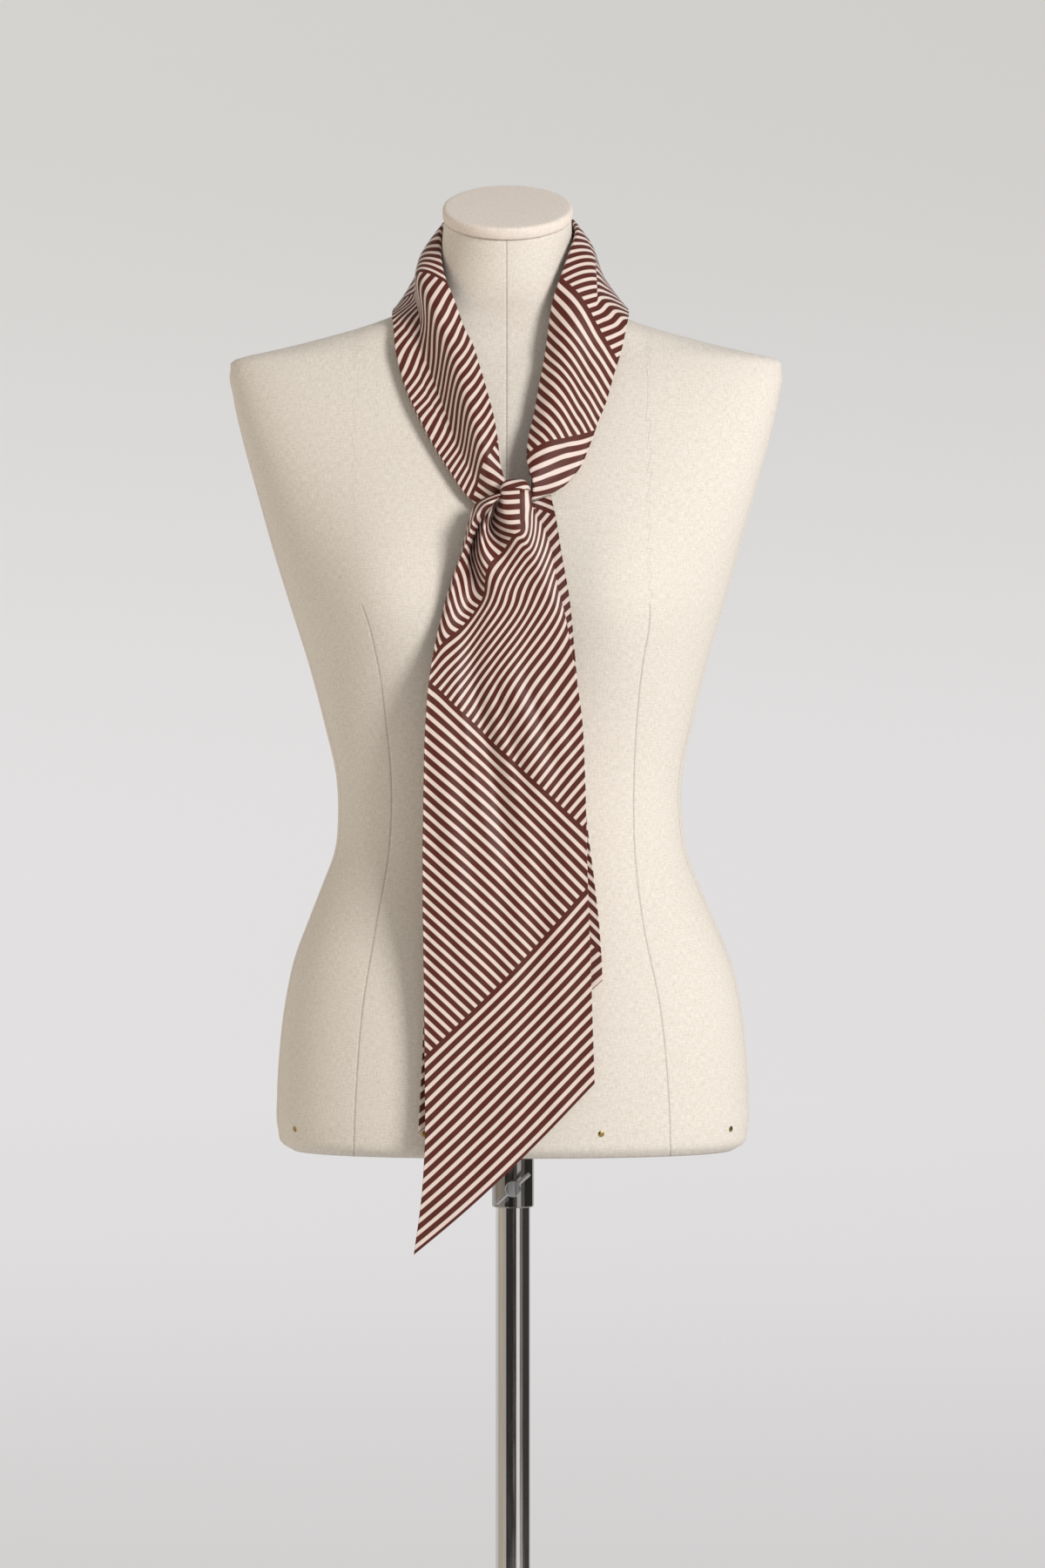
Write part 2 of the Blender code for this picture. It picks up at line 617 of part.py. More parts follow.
def build_torso(look, parent):
    rings = [torso_ring(row) for row in TORSO_SECTIONS]
    torso = new_object("form_torso", loft("form_torso", rings), look, parent)
    tree = BVHTree.FromPolygons(
        [point.co for point in torso.data.vertices],
        [tuple(face.vertices) for face in torso.data.polygons],
    )
    cut(torso, turned("bore", (
        (BORE_RADIUS, HEM_HEIGHT - CUT_PAST),
        (BORE_RADIUS, HEM_HEIGHT + BORE_DEPTH),
    )))
    return tree


def build_cap(look, parent):
    """The covered disc on the neck, tilted with it."""
    lean = math.radians(NECK_TILT)
    middle = place(*(TORSO_SECTIONS[-1][4], TORSO_SECTIONS[-1][5], TORSO_SECTIONS[-1][0]))
    up = Vector((0.0, -math.sin(lean), math.cos(lean)))
    back = Vector((0.0, math.cos(lean), math.sin(lean)))
    profile = (
        (CAP_ROUNDING, SEAM_GAP),
        (0.0, SEAM_GAP + CAP_ROUNDING),
        (0.0, CAP_THICK - CAP_ROUNDING),
        (CAP_ROUNDING, CAP_THICK),
    )
    rings = []
    for inset, rise in profile:
        ring = []
        for step in range(TORSO_AROUND):
            angle = math.tau * step / TORSO_AROUND
            across = Vector(((CAP_HALF_WIDTH - inset) * MM * math.cos(angle), 0.0, 0.0))
            behind = back * ((CAP_HALF_DEPTH - inset) * MM * math.sin(angle))
            ring.append(middle + across + behind + up * (rise * MM))
        rings.append(ring)
    return new_object("form_neck_cap", loft("form_neck_cap", rings), look, parent)


def build_tacks(look, parent, tree):
    """Domed brass tacks near the hem, each square to the cloth."""
    profile = [(TACK_RADIUS * wide, TACK_PROUD * high) for wide, high in TACK_PROFILE]
    for index, degrees in enumerate(TACK_ANGLES, start=1):
        angle = math.radians(degrees)
        out_x = OUTSIDE_FORM * math.cos(angle)
        out_y = OUTSIDE_FORM * math.sin(angle)
        outside = place(out_x, out_y, TACK_HEIGHT)
        inward = place(0, 0, TACK_HEIGHT) - outside
        surface, normal, _, _ = tree.ray_cast(outside, inward.normalized())
        tack = new_object(f"form_tack_{index}", turned("tack", profile, 12), look, parent)
        turn = normal.to_track_quat("Z", "Y").to_matrix().to_4x4()
        tack.matrix_world = Matrix.Translation(surface + normal * SEAM_GAP * MM) @ turn


def build_sleeve(look, parent):
    bottom = HEM_HEIGHT - SLEEVE_DROP
    top = HEM_HEIGHT + SLEEVE_RISE
    outside = (
        (SLEEVE_RADIUS - SLEEVE_CHAMFER, bottom),
        (SLEEVE_RADIUS, bottom + SLEEVE_CHAMFER),
        (SLEEVE_RADIUS, top),
    )
    sleeve = new_object("form_sleeve", turned("form_sleeve", outside), look, parent)
    cut(sleeve, turned("sleeve_bore", (
        (POLE_BORE, bottom - CUT_PAST),
        (POLE_BORE, top + CUT_PAST),
    )))
    hole = turned("screw_hole", (
        (SCREW_HOLE_RADIUS, 0.0),
        (SCREW_HOLE_RADIUS, SLEEVE_RADIUS + CUT_PAST),
    ), 16)
    cut(sleeve, hole, forward_at(0.0))


def forward_at(distance):
    """Stands a turned shape's axis forward from the sleeve's middle at the clamp screw."""
    turn = Matrix.Rotation(math.radians(90), 4, "X")
    return Matrix.Translation(place(0, -distance, SCREW_HEIGHT)) @ turn


def build_screw(look, parent):
    """The clamp screw: its shank through the sleeve, a cross bar and a round head."""
    tip = POLE_RADIUS + SEAM_GAP
    front = SLEEVE_RADIUS + SCREW_REACH
    profile = (
        (SCREW_SHANK_RADIUS, 0.0),
        (SCREW_SHANK_RADIUS, front - tip - SCREW_HEAD_THICK),
        (SCREW_HEAD_RADIUS, front - tip - SCREW_HEAD_THICK),
        (SCREW_HEAD_RADIUS, front - tip - SCREW_CHAMFER),
        (SCREW_HEAD_RADIUS - SCREW_CHAMFER, front - tip),
    )
    screw = new_object("clamp_screw", turned("clamp_screw", profile, 24), look, parent)
    screw.matrix_world = forward_at(tip)
    half = SCREW_BAR_LENGTH / 2
    bar = turned("bar", (
        (SCREW_BAR_RADIUS - BAR_CHAMFER, -half),
        (SCREW_BAR_RADIUS, -half + BAR_CHAMFER),
        (SCREW_BAR_RADIUS, half - BAR_CHAMFER),
        (SCREW_BAR_RADIUS - BAR_CHAMFER, half),
    ), 12)
    bar_forward = front - SCREW_HEAD_THICK - SCREW_BAR_RADIUS - BAR_BEHIND_HEAD
    tilt = Matrix.Rotation(math.radians(90 - SCREW_BAR_TURN), 4, "Y")
    join_with(screw, bar, Matrix.Translation(place(0, -bar_forward, SCREW_HEIGHT)) @ tilt)


def build_stand(look, parent):
    base = new_object("stand_base", turned("stand_base", FOOT_PROFILE, 48), look)
    hub_top = FOOT_PROFILE[-1][1]
    cut(base, turned("hub_bore", (
        (POLE_BORE, HUB_BORE_BOTTOM),
        (POLE_BORE, hub_top + CUT_PAST),
    )))
    new_object("stand_pole", turned("stand_pole", (
        (POLE_RADIUS, POLE_BOTTOM),
        (POLE_RADIUS, POLE_TOP - POLE_CHAMFER),
        (POLE_RADIUS - POLE_CHAMFER, POLE_TOP),
    )), look, parent)


def empty(name, location, parent=None):
    made = bpy.data.objects.new(name, None)
    bpy.context.scene.collection.objects.link(made)
    made.location = location
    made.parent = parent
    return made


def main():
    clear_scene()
    linen = material("linen", (0.74, 0.68, 0.57), 0.9)
    cap_linen = material("cap_linen", (0.72, 0.66, 0.57), 0.9)
    silk = material("striped_silk", (0.42, 0.25, 0.22), 0.45)
    brass = material("brass", (0.45, 0.33, 0.12), 0.35, 1.0)
    chrome = material("chrome", (0.8, 0.8, 0.8), 0.12, 1.0)
    swivel = empty("swivel", (0, 0, 0))
    form = empty("form", (0, 0, 0), swivel)
    bpy.context.view_layer.update()
    tree = build_torso(linen, form)
    build_cap(cap_linen, form)
    build_tacks(brass, form, tree)
    build_sleeve(chrome, form)
    build_screw(chrome, form)
    build_stand(chrome, swivel)
    build_neck(silk, form, tree)
    build_knot(silk, form)
    build_front_tail(silk, form)
    build_back_tail(silk, form, tree)


main()
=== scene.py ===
"""Looks of a striped silk scarf, knotted once round the neck of a linen dress form on its stand.

Tables are in millimetres. On the form and the scarf, heights count from the form's hem.
"""

import math

import bpy
import numpy as np
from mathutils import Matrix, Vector
from mathutils.bvhtree import BVHTree


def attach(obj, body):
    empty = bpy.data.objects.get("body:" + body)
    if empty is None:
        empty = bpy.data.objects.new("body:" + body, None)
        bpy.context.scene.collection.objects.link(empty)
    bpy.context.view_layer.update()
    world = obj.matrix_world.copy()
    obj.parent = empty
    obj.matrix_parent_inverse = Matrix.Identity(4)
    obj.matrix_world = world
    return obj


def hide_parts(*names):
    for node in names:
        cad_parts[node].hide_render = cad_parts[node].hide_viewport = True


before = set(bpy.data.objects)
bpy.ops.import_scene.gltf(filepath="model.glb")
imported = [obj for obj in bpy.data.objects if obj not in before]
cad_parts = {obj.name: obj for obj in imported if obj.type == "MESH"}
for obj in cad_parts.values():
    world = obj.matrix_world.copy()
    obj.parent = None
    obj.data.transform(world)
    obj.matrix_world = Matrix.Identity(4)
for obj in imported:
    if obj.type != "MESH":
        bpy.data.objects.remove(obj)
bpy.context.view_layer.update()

MM = 0.001
HEM_HEIGHT = 780.0

# Scarf
SCARF_WIDTH = 119.0
CLOTH_HALF = 0.5             # half of both layers of silk together
EDGE_BEAD = 0.75             # radius of the rolled edge
BEAD_TIP = 0.04              # half thickness at the very edge
LEAF_HALF = 0.45             # half of one leaf of the folded neck stretch
LEAF_BEAD = 0.7
LEAF_SPREAD = 2.6            # from one leaf's middle to the other's
CLEAR_OF_FORM = 0.5
SEAM_GAP = 0.3               # between two stretches of the neck
RIDGE_AT = 0.26              # shares of the way from the fold to the free edges
TROUGH_AT = 0.62
CREST_REACH = 0.2
STRIPE_PERIOD = 6.3          # a brown and a cream stripe, square across them
BROWN_SHARE = 0.585
STRIPE_BLUR = 0.035          # share of the period that a stripe's edge fades over
BAND_EDGE_IN = 0.3           # how far inside the brown band the next stripes start
BAND_EDGE_BLUR = 0.2

# Form
TORSO_AROUND = 240
HEM_LEVELS = (0, 1.2, 3.5, 6, 9, 12, 16, 20)
BODY_FROM = 24.0
BODY_STEP = 4.0
SHOULDERS_FROM = 528.0
SHOULDERS_TO = 636.0
SHOULDERS_STEP = 2.5
HEM_LIP = 3.2                # the turned hem hangs this far below the underside
HEM_LIP_FROM = 22.0
HEM_INSETS = (14.0, 8.0)
NECK_TILT = 23.5
CAP_AROUND = 144
CAP_HALF_WIDTH = 44.7
CAP_HALF_DEPTH = 52.0
# The cap's rounded rim, from its underside up: inset from the edge, rise
CAP_RIM = (
    (3.2, 0.3), (1.8, 0.35), (0.6, 0.9), (0.0, 2.1), (0.0, 4.5), (0.0, 7.0),
    (0.5, 8.2), (1.5, 8.9), (3.0, 9.15), (5.0, 9.2),
)
CAP_CROWN = 0.2              # how far the cap's top is crowned inside its rim
CAP_CROWN_INSETS = (10, 20, 30, 40)
CAP_CROWN_WIDTH = 39.0

# height, half width, depth in front, depth behind, middle x, middle y, squareness, tilt
TORSO_SECTIONS = (
    (0, 151, 90, 92, 0.0, 0, 2.3, 0),
    (3.5, 158, 96, 98, 0.0, 0, 2.3, 0),
    (12, 161.5, 99, 101, 0.0, 0, 2.3, 0),
    (34, 162.3, 101, 104, 0.0, 0, 2.3, 0),
    (63, 160.8, 102, 108, 0.0, 0, 2.3, 0),
    (101, 156.2, 100, 110, 0.0, 0, 2.3, 0),
    (129, 149.6, 96, 107, -0.5, 0, 2.3, 0),
    (153, 140.2, 91, 101, -1.0, 0, 2.3, 0),
    (179, 129.6, 85, 92, -1.5, 0, 2.3, 0),
    (202, 121.2, 81, 84, -1.5, 0, 2.3, 0),
    (228, 118.4, 79, 78, -2.0, 0, 2.3, 0),
    (252, 119.0, 79, 77, -2.5, 0, 2.3, 0),
    (288, 126.4, 83, 81, -3.0, 0, 2.3, 0),
    (333, 137.8, 91, 88, -3.5, 0, 2.3, 0),
    (368, 148.4, 95, 94, -4.0, 0, 2.35, 0),
    (405, 159.4, 92, 98, -4.5, 0, 2.4, 0),
    (447, 171.0, 83, 98, -4.7, 0, 2.5, 0),
    (484, 181.2, 71, 93, -4.7, 2, 2.6, 0),
    (515, 188.2, 60, 84, -4.7, 5, 2.6, 0),
    (533, 190.2, 53, 74, -4.7, 8, 2.5, 0),
    (541, 186.0, 49, 68, -4.7, 9, 2.4, 0),
    (547, 160.0, 47, 64, -4.6, 9, 2.3, 0),
    (555, 128.0, 46, 59, -4.5, 9, 2.2, 0),
    (563, 100.0, 46, 55, -4.4, 8, 2.1, 1),
    (572, 76.0, 47, 52, -4.3, 7, 2.0, 3),
    (584, 58.0, 48, 50, -4.2, 4, 2.0, 7),
    (600, 49.5, 49, 49, -4.1, 1, 2.0, 12),
    (619, 45.2, 49, 49, -4.0, -2, 2.0, 18),
    (636.5, 43.8, 50, 50, -3.6, -5, 2.0, NECK_TILT),
)
BUST_X = 86.0
BUST_HEIGHT = 372.0
BUST_REACH = 17.0
BUST_HALF_WIDTH = 47.0
BUST_HALF_HEIGHT = 62.0
BUST_SIDE_FALL = 0.7

# Darts of the cover, hem to bust: height, x on the viewer's left, x on the viewer's right
DARTS = (
    (-10, -107, 106), (0, -107, 106), (50, -105, 104), (98, -101, 99), (153, -92, 88),
    (202, -83.5, 82.5), (252, -82, 82), (295, -86, 84), (333, -91.5, 88), (353, -96, 91.5),
    (372, -102, 92), (392, -104, 92), (640, -104, 92),
)
DART_TOPS = (371.0, 369.0)
CENTRE_SEAM_X = -4.3
SIDE_SEAM_Y = -22.0
SIDE_SEAM_LEAN = 0.2         # back for each millimetre up, above SEAMS_LEAN_FROM
SEAMS_LEAN_FROM = 420.0
BACK_SEAMS_MIDDLE = -2.0
BACK_SEAMS_X = 74.0
BACK_SEAMS_LEAN = 0.35       # inward for each millimetre up
NO_SEAM = 20.0               # distance that stands for no dart

# station, folded edge x, y, height, free edges x, y, height, ridge, trough
NECK_SECTIONS = (
    (0, -4.7, -98.0, 444.5, -21.0, -94.5, 432.0, 2.6, 0.5),
    (15, -9.5, -90.0, 461.5, -32.5, -91.5, 443.0, 4.5, -0.8),
    (32, -11.3, -82.5, 478.0, -43.0, -86.0, 458.5, 8.2, -2.8),
    (51, -14.3, -74.0, 495.0, -53.5, -78.5, 475.6, 11.2, -4.7),
    (67, -17.9, -67.0, 508.5, -63.0, -71.0, 494.0, 12.3, -5.6),
    (88, -23.2, -57.5, 527.0, -70.2, -63.5, 509.5, 12.3, -5.6),
    (107, -28.2, -49.0, 543.5, -75.7, -55.0, 525.0, 12.3, -5.6),
    (122, -34.0, -44.5, 556.0, -79.5, -45.5, 541.0, 12.3, -5.6),
    (141, -39.5, -40.5, 573.5, -81.0, -33.0, 556.5, 13.1, -5.6),
    (164, -46.0, -30.0, 592.5, -82.0, -17.0, 566.5, 12.3, -5.6),
    (191, -49.3, -12.0, 612.0, -81.5, 3.0, 573.5, 7.1, -3.4),
    (212, -49.3, 2.0, 626.5, -79.0, 22.0, 578.0, 3.9, -0.4),
    (240, -42.0, 24.0, 639.5, -66.0, 43.0, 588.0, 2.5, 1.0),
    (265, -24.0, 40.5, 645.5, -36.0, 57.0, 591.0, 2.5, 1.5),
    (287, -3.0, 46.5, 647.5, -3.0, 61.0, 590.5, 2.5, 1.5),
    (309, 17.5, 41.5, 646.5, 29.5, 58.5, 591.0, 2.5, 1.0),
    (332, 34.5, 27.0, 641.5, 56.0, 47.0, 589.0, 3.0, 0.5),
    (352, 41.8, 10.0, 634.5, 71.5, 30.0, 582.0, 2.5, -1.0),
    (372, 43.6, -8.0, 626.5, 77.0, 12.0, 576.5, 2.5, -1.8),
    (396, 40.0, -27.0, 613.0, 78.5, -10.0, 570.0, 4.4, -0.4),
    (421, 33.5, -41.0, 593.0, 77.0, -30.0, 560.0, 6.2, 2.5),
    (440, 28.3, -46.0, 576.0, 73.2, -45.0, 541.5, 7.5, 4.0),
    (461, 25.4, -47.0, 555.0, 68.0, -56.5, 523.5, 8.1, 4.5),
    (481, 22.8, -53.5, 536.0, 63.8, -65.0, 507.5, 8.1, 4.5),
    (505, 18.8, -65.5, 515.0, 57.5, -73.0, 491.5, 8.8, 5.0),
    (527, 15.5, -75.5, 495.0, 51.5, -82.0, 474.5, 9.4, 6.0),
    (546, 11.8, -84.5, 480.0, 43.8, -89.5, 458.0, 8.8, 6.0),
    (561, 10.2, -94.0, 467.0, 31.0, -97.0, 444.8, 6.2, 4.5),
    (575, 11.3, -101.5, 455.5, 12.0, -101.5, 437.0, 2.5, 2.0),
)
# The small pleat high on the viewer's right: stations, places across at both, step, tuck,
# and how softly its edge and its ends run out
PLEAT_STATIONS = (358.0, 430.0)
PLEAT_PLACES = (0.10, 0.52)
PLEAT_STEP = 2.2
PLEAT_TUCK = 5.0
PLEAT_EDGE = 0.03
PLEAT_FADE = 0.2
NECK_STEP = 2.2
NECK_COLUMNS = (*np.linspace(0, 0.94, 44), 0.955, 0.968, 0.98, 0.99, 0.996, 1.0)
FOLD_STEPS = 9               # steps of the half turn round the folded edge
NECK_STRETCHES = (
    ("scarf_neck_left", 0.0, 226.0),
    ("scarf_neck_back", 226.0, 352.0),
    ("scarf_neck_right", 352.0, 575.0),
)
# Cloth along the neck stretch: station, length at the fold, at the free edges, fullness across
NECK_CLOTH = (
    (0, -13, -20, 1.10), (13, 2, -5, 1.12), (33, 22, 17, 1.15), (100, 96, 100, 1.15),
    (158, 160, 165, 1.12), (200, 204, 214, 1.05), (300, 298, 318, 0.95), (400, 390, 414, 0.85),
    (426, 416, 441, 0.85), (448, 440, 463, 0.85), (517, 514, 524, 0.85), (563, 563, 574, 0.85),
    (575, 576, 590, 0.85),
)

# The front tail's side edges: cloth length from its tip, left x, height, right x, height, y
FRONT_TAIL_EDGES = (
    (0, -65.8, -65.4, 60.5, -68.0, -112.0),
    (40, -60.6, -26.0, 58.0, -29.0, -112.0),
    (80, -58.4, 13.0, 56.2, 10.0, -112.0),
    (119, -58.5, 50.5, 54.7, 48.7, -112.0),
    (190, -59.2, 116.0, 52.5, 116.0, -112.5),
    (254, -60.0, 174.0, 50.2, 178.5, -113.0),
    (290, -60.0, 206.6, 49.3, 215.0, -113.0),
    (330, -59.4, 243.0, 48.3, 254.0, -113.5),
    (370, -58.6, 279.5, 46.2, 292.5, -113.5),
    (409, -56.0, 314.6, 40.4, 331.0, -113.5),
)
# Lines that gather the tail into the knot, each at its own place across the cloth.
# row, x, y, height, and the cloth's own place there: across it, along it
GATHER_LINES = (
    ("left edge", 0.0, (
        (433, -52.5, -110.0, 336.6, 0, 433), (458, -46.7, -108.0, 361.0, 0, 458),
        (485, -39.2, -105.0, 387.0, 0, 485), (498, -35.1, -103.0, 398.6, 0, 500),
        (511, -31.6, -102.0, 411.9, 0, 515), (524, -28.7, -102.5, 424.0, 0, 530),
        (537, -23.5, -105.5, 435.7, 0, 537), (545, -15.5, -109.5, 439.6, 2, 536),
        (553, -9.5, -111.5, 441.0, 4, 534), (565, -6.5, -106.0, 441.0, 6, 533))),
    ("flap ridge", 9.0, (
        (433, -47.5, -111.0, 340.0, 9, 436), (458, -43.0, -112.0, 364.5, 9, 460),
        (485, -36.0, -113.5, 393.5, 9, 489), (498, -32.0, -115.0, 404.5, 9, 505),
        (511, -28.5, -116.5, 415.0, 9, 523), (524, -25.0, -117.5, 425.0, 9, 539),
        (537, -18.0, -117.5, 433.0, 9, 545), (545, -12.5, -116.5, 437.0, 10, 540),
        (553, -9.2, -114.0, 439.5, 11, 536), (565, -5.8, -106.5, 441.0, 12, 530))),
    ("outer pocket", 24.0, (
        (433, -33.5, -111.0, 349.0, 21, 444), (458, -28.5, -106.0, 371.0, 28, 472),
        (485, -28.6, -99.5, 391.5, 23, 486), (498, -28.0, -98.5, 402.5, 20, 500),
        (511, -25.2, -99.5, 413.5, 18, 515), (524, -21.8, -103.0, 423.0, 17.5, 535.5),
        (537, -16.2, -105.5, 430.5, 20, 543), (545, -12.2, -107.0, 435.0, 22, 540),
        (553, -8.9, -108.5, 438.5, 25, 537), (565, -5.4, -106.0, 441.0, 27, 540))),
    ("pleat", 46.0, (
        (433, -14.5, -113.5, 357.5, 50, 450), (458, -12.5, -114.0, 373.0, 52, 464),
        (485, -17.0, -114.5, 389.5, 56, 484), (498, -19.8, -114.0, 399.0, 54, 492),
        (511, -20.5, -112.5, 409.5, 48.5, 503.5), (524, -18.6, -109.0, 420.0, 45, 518),
        (537, -15.0, -106.5, 428.5, 44, 528), (545, -11.6, -107.0, 434.0, 44.5, 533.0),
        (553, -8.6, -109.0, 438.0, 45.5, 537.5), (565, -5.0, -105.5, 441.0, 47, 548))),
    ("inner pocket", 66.0, (
        (433, 2.0, -114.0, 361.0, 70, 446), (458, 0.5, -114.5, 379.0, 72, 462.5),
        (485, -4.4, -113.0, 398.6, 71, 491), (498, -8.0, -108.5, 405.5, 67, 500),
        (511, -11.8, -102.5, 413.7, 67.5, 507.5), (524, -13.2, -99.5, 421.8, 66.5, 518.5),
        (537, -12.0, -100.0, 429.0, 70, 527), (545, -10.2, -103.0, 434.0, 72, 532),
        (553, -8.0, -107.0, 438.5, 76, 537), (565, -4.0, -104.0, 441.0, 79, 545))),
    ("bridge left", 84.0, (
        (433, 15.0, -114.5, 362.5, 86, 440), (458, 10.0, -115.0, 384.0, 87, 466),
        (485, 4.9, -116.0, 404.0, 80, 491), (498, 2.0, -116.5, 411.5, 79, 503),
        (511, -2.0, -116.5, 418.0, 77.5, 514), (524, -5.0, -116.5, 424.5, 79.2, 521.2),
        (537, -6.1, -116.0, 431.5, 83, 526.7), (545, -6.1, -115.5, 437.5, 87, 530.7),
        (553, -6.0, -114.5, 442.5, 91.2, 535), (565, -5.0, -107.0, 446.5, 95, 541))),
    ("bridge middle", 101.0, (
        (433, 27.0, -114.5, 360.5, 101, 434), (458, 20.5, -115.5, 382.5, 101, 462),
        (485, 14.1, -116.5, 401.0, 93, 486), (498, 11.2, -117.0, 408.5, 87, 496),
        (511, 8.9, -117.0, 416.5, 83.7, 506), (524, 6.6, -117.0, 424.5, 87.4, 513),
        (537, 5.2, -117.0, 432.5, 91.7, 519.3), (545, 4.5, -116.5, 438.5, 95.2, 523.8),
        (553, 4.0, -114.8, 443.5, 98.9, 528.2), (565, 4.0, -107.5, 446.5, 103, 534))),
    ("right edge", SCARF_WIDTH, (
        (433, 35.8, -113.5, 356.5, 119, 433), (458, 30.0, -113.0, 381.0, 119, 458),
        (485, 24.8, -113.0, 407.0, 113, 486), (498, 20.4, -113.5, 418.5, 108, 497),
        (511, 14.6, -114.0, 428.5, 102, 509), (524, 12.8, -114.0, 434.0, 98.1, 514.9),
        (537, 12.6, -114.0, 438.0, 100.7, 517.8), (545, 12.4, -113.5, 440.0, 101.9, 518.9),
        (553, 12.2, -112.5, 441.8, 103.2, 520.2), (565, 12.0, -107.0, 444.0, 106, 526))),
)
GATHER_TOP = 565.0
GATHER_FROM = 370.0          # from here to GATHER_BY the lines take over from the side edges
GATHER_BY = 409.0
LEAD_IN_ROWS = (290.0, 330.0, GATHER_FROM, GATHER_BY)
# Soft long folds of the front tail: across and along at each end, half width, reach forward
FRONT_TAIL_FOLDS = (
    (30.0, 445.0, 66.0, 262.0, 15.0, -6.0),
    (62.0, 430.0, 92.0, 300.0, 16.0, 3.0),
    (10.0, 400.0, 34.0, 180.0, 14.0, 2.5),
    (96.0, 330.0, 70.0, 150.0, 18.0, -2.4),
    (47.0, 425.0, 84.0, 290.0, 9.0, -1.4),
    (84.0, 410.0, 108.0, 330.0, 11.0, 1.2),
    (70.0, 300.0, 48.0, 170.0, 15.0, -1.6),
    (18.0, 330.0, 8.0, 120.0, 11.0, 0.9),
    (102.0, 240.0, 92.0, 60.0, 13.0, 1.0),
    (40.0, 200.0, 30.0, 30.0, 15.0, -1.0),
    (60.0, 170.0, 62.0, 70.0, 12.0, 0.6),
)
# The trough that takes up the tail's slack: cloth length, place across
SLACK_LINE = ((0, 60), (200, 84), (290, 80), (330, 72), (352, 62), (385, 52), (420, 43), (560, 40))
SLACK_HALF_WIDTH = 42.0
SLACK_FREE = 4.0             # this much of the cloth's width needs no trough

# The back tail: cloth length from its tip, left x, height, right x, height, y
BACK_TAIL_EDGES = (
    (0, -63.0, 15.3, 63.5, 0.0, -106.5),
    (60, -60.0, 74.0, 62.0, 58.0, -106.5),
    (119, -58.0, 131.0, 60.0, 117.0, -106.5),
    (150, -57.0, 161.0, 58.5, 146.0, -106.5),
    (190, -56.0, 199.0, 54.5, 184.0, -106.5),
    (230, -54.0, 238.0, 49.5, 224.0, -106.5),
    (300, -46.0, 300.0, 45.0, 292.0, -106.5),
    (350, -35.0, 343.0, 41.5, 336.0, -105.5),
    (390, -20.0, 374.0, 38.0, 372.0, -103.0),
    (425, -7.0, 399.0, 32.8, 402.0, -99.0),
    (450, 2.0, 419.0, 29.4, 424.0, -96.5),
    (472, 7.0, 434.0, 25.5, 441.5, -94.5),
)
# A slow ripple down the back tail, and the small tucks under the knot on its left part
RIPPLE_REACH = 0.9
RIPPLE_LENGTH = 47.0
RIPPLE_AT = 92.0
RIPPLE_HALF_WIDTH = 40.0
TUCKS_FROM = 300.0
TUCKS_GROW = 110.0
TUCKS_WIDTH = 56.0
TUCKS_FADE = 16.0
TUCKS_REACH = 3.0
TUCKS_COUNT = 5.0
TUCKS_SET_BACK = 0.15

FIRST_LEVEL_ROW = 135.0      # rows run square across the tails from here up
# Shares of the way from a slanted end to the first level row
END_SHARES = (
    0.0, 0.0006, 0.0024, 0.006, 0.009, 0.013, 0.02, 0.035, 0.055,
    *np.linspace(0.08, 1.0, 44, endpoint=False),
)

KNOT_MIDDLE = (1.7, -104.5, 438.7)
KNOT_HALF_SIZES = (10.2, 9.6, 12.7)
KNOT_SQUARENESS = 3.4
KNOT_AROUND = 64
KNOT_LEVELS = 40
KNOT_LENGTH_AT = 560.0       # the scarf's length where the roll over the knot lies
ROLL_FALL_SIDE = 0.32        # how the roll's stripes fall to the side and rise to the back
ROLL_RISE_BACK = 0.35

# Where the stripes turn, in one length that runs on through the whole scarf. Along "rising"
# bands length less across is even, along "falling" ones length plus across is.
BANDS = (
    ("rising", 134.0), ("falling", 409.0), ("rising", 426.0), ("falling", 700.0),
    ("rising", 737.0), ("falling", 884.0), ("rising", 985.0), ("falling", 1140.0),
    ("rising", 1278.0), ("falling", 1400.0), ("rising", 1325.4), ("falling", 1669.0),
    ("rising", 1641.0), ("falling", 1893.0),
)
NECK_LENGTH_FROM = 1300.0
BACK_TAIL_LENGTH_FROM = 1900.0

# Linen: a thread and its gap, a stitch, half widths of a seam's groove and of its dark line
LINEN_PITCH = 0.82
STITCH_LENGTH = 2.6
GROOVE_HALF = 1.3
LINE_HALF = (0.15, 0.7)
# How often the grain repeats in x, y and z
BRUSHED_GRAIN = (260.0, 260.0, 9.0)
CAST_GRAIN = (90.0, 90.0, 90.0)

# Camera and stage: film and lens in millimetres, the rest in metres
FILM_HEIGHT = 36.0
FOCAL_PIXELS = 5567
PICTURE_HEIGHT = 1800
CAMERA_AT = (0.0066, -3.34, 1.028)
CARD_RADIUS = 2.4
CARD_HEIGHTS = (0.02, 2.6)
CARD_STEPS = 12
STUDIO_AROUND = 96
STUDIO_FLOOR = (0.0, 1.0, 3.0, 6.0, 9.0, 12.0)
STUDIO_CURVE = 4.0
STUDIO_TOP = (16.0, 9.0)
STUDIO_DROP = 0.0005
# Painted shade: the dim glow of the studio before the form
STUDIO_PAINTED_SHADE = (0.17, 0.17, 0.17)


def place(x, y, height):
    return Vector((x * MM, y * MM, (HEM_HEIGHT + height) * MM))


def smooth_rows(rows, at):
    """The row of a table at any key, on a smooth curve through its rows."""
    table = np.asarray(rows, float)
    keys = table[:, 0]
    slopes = np.gradient(table, keys, axis=0)
    low = int(np.clip(np.searchsorted(keys, at) - 1, 0, len(keys) - 2))
    span = keys[low + 1] - keys[low]
    t = (at - keys[low]) / span
    start = (1 + 2 * t) * (1 - t) ** 2 * table[low] + t * (1 - t) ** 2 * span * slopes[low]
    end = t * t * (3 - 2 * t) * table[low + 1] - t * t * (1 - t) * span * slopes[low + 1]
    return start + end


